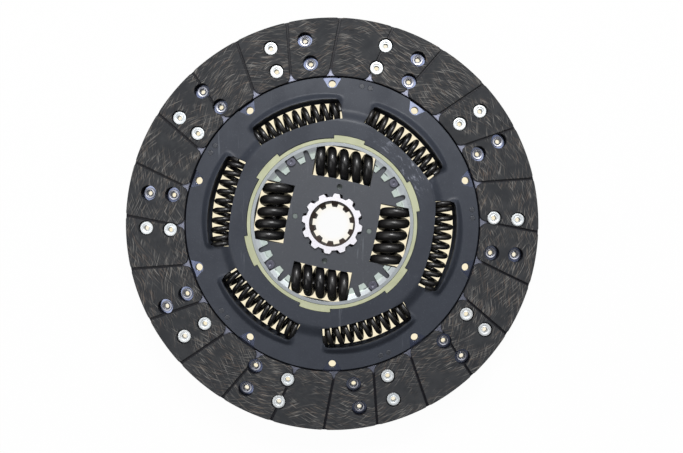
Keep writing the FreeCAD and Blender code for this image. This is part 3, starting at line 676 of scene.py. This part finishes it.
@dataclass(frozen=True)
class WasherFinish(SheetFinish):
    """Plated spring steel, bright at the tips of its fingers and duller towards its rim."""

    tip: float = 57.4
    root: float = 60.0
    dull: Colour = (0.40, 0.43, 0.45)
    mark: Colour = (0.09, 0.10, 0.11)

    def paint(self, tree: Tree, shader: Node) -> None:
        """The plain finish, the duller root, and short dark marks between the two."""
        super().paint(tree, shader)
        place = tree.place()
        distance, _ = tree.polar(place)
        root = tree.ramp(distance, self.tip * MM, self.root * MM)
        between = tree.times(tree.ramp(distance, (self.tip - 0.2) * MM, (self.tip + 0.3) * MM),
                            tree.ramp(distance, (self.tip + 1.1) * MM, (self.tip + 0.6) * MM))
        marks = tree.times(between, tree.ramp(tree.noise(place, 160.0, 1.0), 0.45, 0.6))
        overlay(tree, shader, root, self.dull)
        overlay(tree, shader, marks, self.mark)


@dataclass(frozen=True)
class TurnedFinish(Finish):
    """Steel turned on a lathe, with a light film over it."""

    name: str
    colour: Colour
    film: Colour
    # painted shade for the inside of the bore
    bore_shade: Colour
    bore: float
    rings: float = 1500.0
    metallic: float = 0.5
    rough: float = 0.42

    def paint(self, tree: Tree, shader: Node) -> None:
        """Rings about the axis under clouds of film, and painted shade in the bore, dark and not metallic."""
        place = tree.place()
        marks = Groups.use(tree, "Turning marks", Vector=place, Rings_per_metre=self.rings)
        grain = Groups.use(tree, "Grain", Vector=place, Fine_scale=1200.0, Broad_scale=120.0)
        distance, _ = tree.polar(place)
        # painted shade: inside the bore the colour goes dark and the metal dull
        inside = tree.ramp(distance, (self.bore + 0.15) * MM, (self.bore - 0.15) * MM)
        clean = tree.mix(grain["Mask"], self.colour, self.film)
        tree.feed(shader, Base_Color=tree.mix(inside, clean, self.bore_shade))
        tree.feed(shader, Roughness=tree.ramp(grain["Mask"], 0.0, 1.0, self.rough, self.rough + 0.15))
        outside = tree.math("SUBTRACT", 1.0, inside)
        tree.feed(shader, Metallic=tree.times(outside, self.metallic))
        bump(tree, shader, marks["Height"], 0.02)


@dataclass(frozen=True)
class MouldedFinish(Finish):
    """Moulded plastic with a soft mottling."""

    name: str
    colour: Colour
    shade: Colour
    rough: float = 0.5

    def paint(self, tree: Tree, shader: Node) -> None:
        """A faint mottling and a fine grain."""
        place = tree.place()
        grain = Groups.use(tree, "Grain", Vector=place, Fine_scale=1400.0, Broad_scale=70.0)
        tree.feed(shader, Base_Color=tree.mix(grain["Mask"], self.colour, self.shade))
        tree.feed(shader, Roughness=self.rough)
        bump(tree, shader, grain["Height"], 0.02)


FACING = FrictionFinish()
# the cover carries PressedFinish's painted highlight streaks on its raised ring
COVER = PressedFinish("cover_steel", (0.039, 0.045, 0.060), (0.030, 0.035, 0.048), (0.24, 0.26, 0.30), scuffs=0.25,
                      worn=0.1, rough=0.5, shine=0.35)
PLATE = SheetFinish("plate_steel", (0.066, 0.071, 0.084), (0.052, 0.057, 0.069), (0.24, 0.26, 0.29), scuffs=0.35,
                    dust=0.5)
CUSHION = SheetFinish("cushion_steel", (0.26, 0.29, 0.40), (0.13, 0.155, 0.26), (0.55, 0.58, 0.64), metallic=1.0,
                      rough=0.16, dust=0.0, worn=0.1)
SPRING = SheetFinish("spring_steel", (0.008, 0.008, 0.009), (0.012, 0.011, 0.011), (0.10, 0.10, 0.11), scuffs=0.15,
                     worn=0.0, dust=0.0, rough=0.27, grain=600.0)
# the rolled ends get RivetFinish's painted shade
RIVET = RivetFinish("rivet_steel", (0.80, 0.83, 0.84), (0.74, 0.79, 0.82), (0.9, 0.92, 0.94), metallic=0.45,
                    rough=0.36, dust=0.0)
PIN = SheetFinish("rim_rivet_steel", (0.036, 0.040, 0.050), (0.030, 0.034, 0.044), (0.36, 0.37, 0.40), worn=1.0)
STOP = SheetFinish("stop_rivet_steel", (0.13, 0.13, 0.17), (0.09, 0.09, 0.12), (0.4, 0.4, 0.46), metallic=0.4,
                   rough=0.38, worn=0.5)
WASHER = WasherFinish("plated_washer", (0.60, 0.69, 0.63), (0.50, 0.58, 0.55), (0.86, 0.90, 0.88), metallic=0.3,
                      rough=0.34, dust=0.0)
RING = MouldedFinish("friction_ring", (0.53, 0.55, 0.37), (0.46, 0.48, 0.31), 0.35)
BUSH = MouldedFinish("bush_plastic", (0.020, 0.020, 0.022), (0.030, 0.030, 0.032))
PEG = MouldedFinish("peg_plastic", (0.19, 0.22, 0.21), (0.15, 0.18, 0.17))
# its third colour is painted shade for the inside of the bore
HUB_STEEL = TurnedFinish("hub_steel", (0.90, 0.89, 0.94), (0.82, 0.80, 0.86), (0.050, 0.036, 0.030), 18.3,
                         metallic=0.3)


def dress(piece: Object, finish: Finish) -> None:
    """Gives a piece its finish alone."""
    piece.data.materials.clear()
    piece.data.materials.append(finish.material())


def seat(piece: Object, finish: Finish, body: Body, slot: str, *nodes: str) -> None:
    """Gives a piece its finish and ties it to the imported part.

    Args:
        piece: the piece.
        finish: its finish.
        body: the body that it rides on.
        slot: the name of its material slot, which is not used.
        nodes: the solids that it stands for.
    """
    dress(piece, finish)
    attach(piece, body.value)
    if nodes:
        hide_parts(*nodes)
    log.info("%s: %d faces", piece.name, len(piece.data.polygons))


# Sub-assemblies


@dataclass
class Plates:
    """Plates, rings and washers that keep their solids' shapes."""

    finishes: tuple[tuple[str, Finish], ...] = (
        ("rear_cover", COVER),
        ("cushion_plate", CUSHION),
        ("front_friction_ring", RING),
        ("rear_friction_ring", RING),
        ("centring_bush", BUSH),
        ("front_drive_plate", PLATE),
        ("rear_drive_plate", PLATE),
        ("stop_rivets", STOP),
        ("diaphragm_washer", WASHER),
        ("front_peg_washer", PEG),
        ("rear_peg_washer", PEG),
        ("hub", HUB_STEEL),
    )

    def build(self) -> None:
        """Gives each solid its finish."""
        for node, finish in self.finishes:
            dress(bpy.data.objects[node], finish)


@dataclass
class Flange:
    """The plate between the covers, its bays deepened so that the springs can shorten in them."""

    bay_inner: float = 73.4
    bay_outer: float = 100.0
    bay_half: float = 24.4
    bay_steps: int = 24
    bay_reach: float = 20.0

    def build(self) -> None:
        """Cuts the deeper bays out of a welded copy of the solid."""
        plate = copy_placed(bpy.data.objects["intermediate_flange"], "flange_plate", Matrix.Identity(4))
        edit(plate, bpy.ops.mesh.remove_doubles, threshold=0.001 * MM)
        steps = self.bay_steps
        angles = [radians(self.bay_half * (2 * index / steps - 1)) for index in range(steps + 1)]
        corners = arc(self.bay_inner, angles) + arc(self.bay_outer, reversed(angles))
        bay = prism("bay", corners, -self.bay_reach, self.bay_reach)
        cut(plate, around(bay, OUTER_COUNT, SPRING_TURN))
        smooth(plate, 30.0)
        seat(plate, PLATE, Body.FLANGE, "plate_steel", "intermediate_flange")


@dataclass
class FrontCover:
    """The pressed plate that is seen, with soft bends, and hoods that rise over the outer springs."""

    low: float = 0.4
    thick: float = 3.6
    bore: float = 67.8
    outer: float = 117.4
    edge: float = 0.35
    rows: tuple[Point, ...] = ((81.0, 2.6), (93.0, 0.75), (98.0, 1.25), (107.0, 0.5), (117.4 - 0.35, 3.0))
    ring_rise: float = 5.2
    slope: Point = (92.5, 81.5)
    hood_foot: float = 105.8
    hood_bow: float = 2.0
    hood_reach: float = 99.1
    hood_rise: float = 4.6
    hood_back: Point = (92.0, 98.0)
    hood_ends: Point = (1.6, -2.2)
    window_end: float = 22.2
    window_inner: float = 80.5
    window_drop: float = 3.8
    window_slant: float = 13.0
    window_gap: float = 0.3
    window_corner: Point = (1.5, 2.5)
    notch_count: int = 10
    notch_turn: float = 18.0
    notch_floor: float = 111.2
    notch_round: Point = (2.5, 4.15)
    notch_mouth: Point = (121.4, 10.3)
    seat_half: float = 10.5
    seat_reach: Point = (66.0, 70.5)
    pin_pairs: int = 5
    pin_turn: float = 4.0
    pin_asides: Point = (1.75, -1.75)
    pin_ring: float = 112.6
    pin_head: float = 2.1
    pin_shank: float = 1.35
    pin_low: float = -4.0
    pin_sides: int = 24
    steps: int = 540

    def radii(self) -> list[float]:
        """The rows of the sheet, closer together where it bends."""
        rows = [self.bore + self.edge]
        for end, step in self.rows:
            start = rows[-1]
            count = max(1, round((end - start) / step))
            rows += [start + (end - start) * (index + 1) / count for index in range(count)]
        return rows

    def sheet(self) -> Object:
        """Makes the plate with its hoods, before it is cut.

        Returns:
            The sheet.
        """
        top, under = [], []
        ahead_by = 0.1
        for radius in self.radii():
            level = self.low + self.thick + self.ring_rise * ease(radius, *self.slope)
            ahead = self.low + self.thick + self.ring_rise * ease(radius + ahead_by, *self.slope)
            top.append((radius, level))
            under.append((radius, level - self.thick * hypot(1.0, (ahead - level) / ahead_by)))
        bore, outer, edge = self.bore, self.outer, self.edge
        profile = [(bore, under[0][1] + edge), (bore, top[0][1] - edge), *top]
        profile += [(outer, top[-1][1] - edge), (outer, under[-1][1] + edge), *reversed(under)]
        plate = lathe("front_cover_plate", profile, self.steps)
        pitch = 360.0 / OUTER_COUNT
        start, end = (self.window_end + more for more in self.hood_ends)
        for vertex in plate.data.vertices:
            x, y, _ = vertex.co / MM
            radius = hypot(x, y)
            angle = (degrees(atan2(y, x)) - SPRING_TURN + pitch / 2) % pitch - pitch / 2
            foot = self.hood_foot - self.hood_bow * (angle / self.window_end) ** 2
            rise = ease(radius, foot, self.hood_reach) * ease(radius, *self.hood_back)
            vertex.co.z += self.hood_rise * MM * rise * ease(abs(angle), start, end)
        return plate

    def window(self) -> Object:
        """Makes the cutter for one spring window, its outer corners rounded.

        Returns:
            The cutter.
        """
        inner = self.window_inner - self.window_drop
        slant = tan(radians(self.window_slant))
        half = (inner - (OUTER_RING - OUTER_BOW)) * slant + self.window_gap
        run, depth = self.window_corner
        corners = []
        for index in range(13):
            along = half * (index / 6 - 1)
            corners.append((self.window_inner - self.window_drop * (along / half) ** 2, along))
        for index in range(61):
            angle = self.window_end * (1 - index / 30)
            inward = max(0.0, abs(angle) - self.window_end + run) / run
            radius = self.hood_reach - depth * (1 - sqrt(1 - min(1.0, inward) ** 2))
            corners += arc(radius, [radians(angle)])
        return prism("window", corners, *THROUGH)

    def notch(self) -> Object:
        """The cutter for one rim notch, flared towards the rim and round at its floor."""
        deep, half = self.notch_round
        far, wide = self.notch_mouth
        angles = [radians(20 * index) for index in range(10)]
        floor = [(self.notch_floor - deep * sin(angle), half * cos(angle)) for angle in angles]
        return prism("notch", [(far, wide), *floor, (far, -wide)], *THROUGH)

    def lug_seat(self) -> Object:
        """The cutter for the seat of one lug of the friction ring."""
        near, far = self.seat_reach
        half = self.seat_half
        angles = [radians(-half + 2 * half * index / 12) for index in range(13)]
        return prism("seat", arc(far, angles) + arc(near, reversed(angles)), *THROUGH)

    def pin(self) -> Object:
        """The cutter for the head of one rim rivet."""
        return prism("pin", circle(self.pin_head + 0.02, self.pin_ring, 0.0, self.pin_sides), *THROUGH)

    def pins(self) -> Object:
        """Makes the rim rivets, flush in the plate.

        Returns:
            All of them as one piece.
        """
        head, shank = self.pin_head, self.pin_shank
        top = self.low + self.thick
        profile = [(0.0, self.pin_low), (shank, self.pin_low), (shank, self.low), (head, self.low),
                   (head, top - 0.15), (head - 0.35, top + 0.1), (0.0, top + 0.15)]
        first = lathe("rivet", profile, self.pin_sides)
        smooth(first, 30.0)
        first.data.transform(Matrix.Translation((self.pin_ring * MM, 0.0, 0.0)))
        pitch = 360.0 / self.pin_pairs
        copies = []
        for index in range(self.pin_pairs):
            for aside in self.pin_asides:
                copies.append(copy_placed(first, "rivet", turned(self.pin_turn + aside + pitch * index)))
        bpy.data.objects.remove(first)
        return join(copies, "rim_rivet_set")

    def build(self) -> None:
        """Makes the plate in place of its solid."""
        plate = self.sheet()
        cutters = around(self.window(), OUTER_COUNT, SPRING_TURN)
        cutters += around(self.notch(), self.notch_count, self.notch_turn)
        cutters += around(self.lug_seat(), OUTER_COUNT, SPRING_TURN + 180.0 / OUTER_COUNT)
        for aside in self.pin_asides:
            cutters += around(self.pin(), self.pin_pairs, self.pin_turn + aside)
        cut(plate, cutters)
        smooth(plate, 38.0)
        seat(plate, COVER, Body.FRICTION_DISC, "cover_steel", "front_cover")
        pins = self.pins()
        seat(pins, PIN, Body.FRICTION_DISC, "rivet_steel", "rim_rivets")


@dataclass
class Facings:
    """The two friction rings, cut into pads by slanting grooves, and their tubular rivets."""

    inner: float = 118.4
    outer: float = 165.0
    low: float = 0.9
    top: float = 4.7
    edge: float = 0.2
    grooves: int = 24
    groove_turn: float = 4.0
    groove_aside: float = 24.8
    groove_half: float = 0.9
    groove_deep: float = 1.2
    mouth: float = 5.2
    mouth_out: float = 2.0
    web: float = 1.4
    seat_bore: float = 5.8
    clear_bore: float = 6.0
    shank_bore: float = 2.45
    rows: Point = (148.2, 129.0)
    aside: float = 14.05
    count: int = 10
    sides: int = 32
    steps: int = 720
    profile: tuple[Point, ...] = (
        (1.85, 2.8), (1.95, 3.1), (2.15, 3.3), (2.4, 3.28), (2.7, 3.1), (3.0, 3.28), (4.8, 3.3), (5.1, 3.2),
        (5.2, 3.0), (5.2, 2.3), (2.4, 2.3), (2.4, 0.04), (4.1, 0.04), (4.3, -0.15), (4.3, -0.45), (4.1, -0.7),
        (3.7, -0.72), (3.2, -0.5), (2.8, -0.5), (2.5, -0.8), (2.25, -0.96), (2.0, -0.8), (1.85, -0.4),
    )

    def corner(self, radius: float, reach: float, way: int, outward: bool) -> list[Point]:
        """The round corner of a pad, from the wall of a groove to the ring's edge.

        Args:
            radius: the corner's radius.
            reach: the radius of the ring's edge.
            way: 1 or -1 for the two sides of the groove.
            outward: whether it is the outer edge.

        Returns:
            The points of the corner, in the groove's own frame.
        """
        across = self.groove_aside + way * (self.groove_half + radius)
        distance = reach - radius if outward else reach + radius
        along = sqrt(distance ** 2 - across ** 2)
        start = -pi / 2 * way
        end = atan2(across, along) - (0.0 if outward else way * pi)
        return arc(radius, [start + (end - start) * index / 8 for index in range(9)], along, across)

    def groove(self) -> Object:
        """Makes the cutter for one groove.

        Returns:
            The cutter.
        """
        near_low, near_high = (self.corner(self.mouth, self.inner, way, False) for way in (-1, 1))
        far_low, far_high = (self.corner(self.mouth_out, self.outer, way, True) for way in (-1, 1))
        ends = [(near_high[-1], 0.98), (near_low[-1], 0.98), (far_low[-1], 1.02), (far_high[-1], 1.02)]
        spots = [(x * scale, y * scale) for (x, y), scale in ends]
        outline = [spots[1], *reversed(near_low), *far_low, spots[2]]
        outline += [spots[3], *reversed(far_high), *near_high, spots[0]]
        return prism("groove", outline, self.top - self.groove_deep, self.top + 3.0)

    def bores(self, radius: float, way: int, low: float, turn: float) -> list[Object]:
        """Makes cutters of one radius at all rivets on one side of the paddles.

        Args:
            radius: the cutters' radius.
            way: 1 or -1 for the side.
            low: the level where they start.
            turn: the angle of the first paddle.

        Returns:
            The cutters.
        """
        tools = []
        for row in self.rows:
            tool = prism("bore", circle(radius, row, way * self.aside, 40), low, self.top + 2.5)
            tools += around(tool, self.count, turn)
        return tools

    def ring(self, side: Side) -> Object:
        """Makes one friction ring.

        Args:
            side: the side of the disc that it lies on.

        Returns:
            The ring.
        """
        edge = self.edge
        profile = [(self.inner, self.low), (self.outer, self.low), (self.outer, self.top - edge),
                   (self.outer - edge, self.top), (self.inner + edge, self.top), (self.inner, self.top - edge)]
        piece = lathe(side.name.lower() + "_friction_ring_pads", profile, self.steps)
        turn = PADDLE_TURN * side.value
        cut(piece, around(self.groove(), self.grooves, self.groove_turn))
        seats = self.bores(self.seat_bore, 1, self.low + self.web, turn)
        cut(piece, seats + self.bores(self.clear_bore, -1, -2.0, turn))
        cut(piece, self.bores(self.shank_bore, 1, -2.5, turn))
        piece.data.transform(side.over())
        smooth(piece, 30.0)
        return piece

    def rivets(self, side: Side) -> Object:
        """Makes the rivets of one facing.

        Args:
            side: the side of the disc that the facing lies on.

        Returns:
            All of them as one piece.
        """
        first = lathe("rivet", list(self.profile), self.sides)
        smooth(first, 40.0)
        turn = PADDLE_TURN * side.value
        copies = []
        for index in range(self.count):
            for across in self.rows:
                spot = Matrix.Translation((across * MM, self.aside * MM, 0.0))
                place = side.over() @ turned(turn + 360.0 * index / self.count) @ spot
                copies.append(copy_placed(first, "rivet", place))
        bpy.data.objects.remove(first)
        return join(copies, side.name.lower() + "_rivet_set")

    def build(self) -> None:
        """Makes both facings and their rivets."""
        for side in Side:
            label = side.name.lower() + "_facing"
            ring = self.ring(side)
            seat(ring, FACING, Body.FRICTION_DISC, "friction_facing", label)
            rivets = self.rivets(side)
            seat(rivets, RIVET, Body.FRICTION_DISC, "rivet_steel", label + "_rivets")


@dataclass
class Coil:
    """A damper spring with closed and ground ends, along Y with its middle at a distance from the axis."""

    wire: float
    coil: float
    turns: float
    closed: float
    start: float
    ground: float
    length: float
    place: float
    bow: float
    keep: float
    steps: int
    sides: int

    def advance(self, turn: float) -> float:
        """Finds how far along the spring the wire has come.

        Args:
            turn: the turns from the wire's first end.

        Returns:
            The way, in millimetres.
        """
        tight = 2 * self.wire
        run = self.length - 2 * self.ground * self.wire
        free = (run - 2 * self.closed * tight) / (self.turns - 2 * self.closed)
        blend = 0.2
        value = 0.0
        steps = 40
        for index in range(steps):
            at = turn * (index + 0.5) / steps
            share = ease(min(at, self.turns - at), self.closed - blend, self.closed + blend)
            value += (tight + (free - tight) * share) * turn / steps
        return value

    def build(self, name: str) -> Object:
        """Makes the spring, with its place in its mesh.

        Args:
            name: the piece's name.

        Returns:
            The spring.
        """
        curve = bpy.data.curves.new(name, "CURVE")
        curve.dimensions = "3D"
        curve.bevel_depth = self.wire * MM
        curve.bevel_resolution = self.sides // 4
        curve.use_fill_caps = True
        count = int(self.turns * self.steps)
        spline = curve.splines.new("POLY")
        spline.points.add(count)
        whole = self.advance(self.turns)
        mean = self.coil - self.wire
        for index in range(count + 1):
            turn = self.turns * index / count
            tilt = (self.advance(turn) - whole / 2) / self.bow
            outward = Vector((cos(tilt), sin(tilt), 0.0))
            middle = outward * self.bow - Vector((self.bow - self.place, 0.0, -DAMPER_MIDDLE))
            angle = tau * (turn - self.start)
            radial = outward * sin(angle) + Vector((0.0, 0.0, cos(angle)))
            spline.points[index].co = (*((middle + radial * mean) * MM), 1.0)
        activate(link(name, curve))
        bpy.ops.object.convert(target="MESH")
        piece = bpy.context.object
        reach = (whole / 2 + self.wire * self.ground) / self.bow
        for way in (1, -1):
            tilt = reach * way
            normal = Vector((-sin(tilt), cos(tilt), 0.0)) * way
            outward = Vector((cos(tilt), sin(tilt), 0.0))
            spot = (outward * self.bow - Vector((self.bow - self.place, 0.0, 0.0))) * MM
            edit(piece, bpy.ops.mesh.bisect, plane_co=spot, plane_no=normal, use_fill=True, clear_outer=True)
        smooth(piece, 50.0)
        return piece


@dataclass
class Springs:
    """Both stages of damper springs, and the lips behind the outer ones."""

    outer: Coil = field(default_factory=lambda: Coil(
        wire=2.0, coil=10.1, turns=10.25, closed=1.0, start=0.0, ground=0.55, length=72.0, place=OUTER_RING,
        bow=OUTER_BOW, keep=0.45, steps=24, sides=12))
    inner: Coil = field(default_factory=lambda: Coil(
        wire=3.75, coil=13.25, turns=4.6, closed=0.45, start=0.3, ground=0.5, length=47.0, place=48.4, bow=1.0e5,
        keep=0.68, steps=36, sides=16))
    inner_count: int = 4
    lip_radii: Point = (10.5, 12.3)
    lip_span: tuple[int, int, int] = (205, 256, 10)
    lip_steps: int = 360
    gap: tuple[Point, ...] = ((60.0, -10.4), (100.0, -17.6), (100.0, 17.6), (60.0, 10.4))

    def lips(self) -> Object:
        """Makes the lips that hold the outer springs from below at the windows' inner edges.

        Returns:
            All of them as one piece.
        """
        near, far = self.lip_radii
        angles = [radians(angle) for angle in range(*self.lip_span)]
        profile = arc(near, angles, self.outer.place, DAMPER_MIDDLE)
        profile += arc(far, reversed(angles), self.outer.place, DAMPER_MIDDLE)
        ring = lathe("rear_window_lips", profile, self.lip_steps)
        gap = prism("gap", list(self.gap), -30.0, 10.0)
        cut(ring, around(gap, OUTER_COUNT, SPRING_TURN + 180.0 / OUTER_COUNT))
        smooth(ring, 30.0)
        return ring

    def build(self) -> None:
        """Makes ten springs, each with its own mesh, and the lips."""
        lips = self.lips()
        seat(lips, COVER, Body.FRICTION_DISC, "cover_steel")
        for stage, coil, count, body in (("outer", self.outer, OUTER_COUNT, Body.FRICTION_DISC),
                                         ("inner", self.inner, self.inner_count, Body.FLANGE)):
            first = coil.build(stage + "_coil")
            for index in range(count):
                node = "%s_spring_%d" % (stage, index + 1)
                angle = SPRING_TURN + 360.0 * index / count
                piece = copy_placed(first, "%s_coil_%d" % (stage, index + 1), turned(angle))
                seat(piece, SPRING, body, "spring_steel", node)
                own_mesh(piece)
            bpy.data.objects.remove(first)


@dataclass
class Studio:
    """Floor, lamps and camera."""

    floor_level: float = -36.0
    eye: Spot = (7.5, -2.2, 504.7)
    focal_px: float = 625.4
    frame_px: float = 683.0
    sensor: float = 36.0
    clip: float = 0.01
    sky: tuple[float, ...] = (0.0, 0.9, 0.10, 0.45)
    sky_mirrored: tuple[float, ...] = (0.15, 0.95, 0.04, 2.1)
    sky_dark: float = 0.10
    window: Spot = (0.26, 0.966, 0.0)
    window_edge: Point = (0.10, 0.25)
    glow_mirrored: float = 0.35
    # painted shadow colour of the floor under the disc
    shade: Colour = (1.0, 0.90, 0.66)
    paper: Colour = (1.0, 1.0, 1.0)
    disc_edge: Point = (0.180, 0.150)
    bore_edge: Point = (0.010, 0.024)
    lamps: tuple[tuple[str, Spot, float, float], ...] = (
        ("key", (0.14, 0.98, 1.2), 0.5, 16.5),
        ("fill", (-0.7, -0.2, 1.0), 0.8, 3.0),
    )

    def floor(self) -> None:
        """A white floor with a painted cream shadow under the disc, white again in the bore."""
        bpy.ops.object.select_all(action="DESELECT")
        bpy.ops.mesh.primitive_plane_add(size=12.0, location=(0.0, 0.0, self.floor_level * MM))
        plane = bpy.context.object
        plane.name = "floor"
        material = bpy.data.materials.new("floor_paper")
        material.use_nodes = True
        tree = Tree(material.node_tree)
        tree.tree.nodes.clear()
        distance, _ = tree.polar(tree.place())
        # painted shadow: cream between the bore and the disc's rim
        under = tree.times(tree.ramp(distance, *self.disc_edge), tree.ramp(distance, *self.bore_edge))
        colour = tree.mix(under, self.paper, self.shade)
        diffuse = tree.add("BsdfDiffuse", (0.85, 0.85, 0.85))
        path = tree.add("LightPath").outputs
        # in reflections the floor glows dimmer: painted shade for the floor under the disc
        glow = tree.add("Emission", colour, tree.ramp(path["Is Glossy Ray"], 0.0, 1.0, 1.0, self.glow_mirrored))
        seen = tree.math("MAXIMUM", path["Is Camera Ray"], tree.math("MAXIMUM", path["Is Glossy Ray"],
                                                                    path["Is Transmission Ray"]))
        mixed = tree.add("MixShader", tree.times(seen, 0.97), diffuse.outputs[0], glow.outputs[0])
        end = tree.add("OutputMaterial")
        tree.feed(end, Surface=mixed.outputs[0])
        plane.data.materials.append(material)

    def lamp(self, name: str, spot: Spot, size: float, power: float) -> None:
        """Adds a square soft lamp that looks at the disc.

        Args:
            name: the lamp's name.
            spot: where it hangs, in metres.
            size: the length of its side, in metres.
            power: its power, in watts.
        """
        light = bpy.data.lights.new(name, "AREA")
        light.energy = power
        light.size = size
        holder = link(name, light)
        holder.location = spot
        holder.rotation_euler = (-Vector(spot)).to_track_quat("-Z", "Y").to_euler()

    def sky_light(self) -> None:
        """A plain dim sky for the light, and one with a bright side for what is mirrored."""
        world = bpy.data.worlds.new("studio")
        bpy.context.scene.world = world
        world.use_nodes = True
        tree = Tree(world.node_tree)
        way = tree.add("TexCoord").outputs["Generated"]
        upward = tree.upward(way)
        glossy = tree.add("LightPath").outputs["Is Glossy Ray"]
        plain = tree.ramp(upward, *self.sky)
        window = tree.add("VectorMath", way, self.window, operation="DOT_PRODUCT").outputs["Value"]
        aside = tree.ramp(window, *self.window_edge, self.sky_dark, 1.0)
        mirrored = tree.times(tree.ramp(upward, *self.sky_mirrored), aside)
        mixed = tree.add("Mix", data_type="FLOAT")
        for index, value in ((0, glossy), (2, plain), (3, mirrored)):
            tree.set(mixed.inputs[index], value)
        background = world.node_tree.nodes["Background"]
        tree.feed(background, Color=(1.0, 1.0, 1.0, 1.0))
        tree.feed(background, Strength=mixed.outputs[0])

    def camera(self) -> None:
        """Adds the camera, which looks straight down."""
        camera = bpy.data.cameras.new("camera")
        camera.sensor_width = self.sensor
        camera.lens = self.focal_px / self.frame_px * self.sensor
        camera.clip_start = self.clip
        holder = link("camera", camera)
        holder.location = [value * MM for value in self.eye]
        bpy.context.scene.camera = holder

    def build(self) -> None:
        """Makes the studio."""
        bpy.context.scene.view_settings.view_transform = "Standard"
        self.sky_light()
        self.floor()
        for lamp in self.lamps:
            self.lamp(*lamp)
        self.camera()


def main() -> None:
    """Builds the disc and its studio."""
    logging.basicConfig(level=logging.INFO)
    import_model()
    for part in (Plates(), Flange(), FrontCover(), Facings(), Springs(), Studio()):
        part.build()


if __name__ == "__main__":
    main()
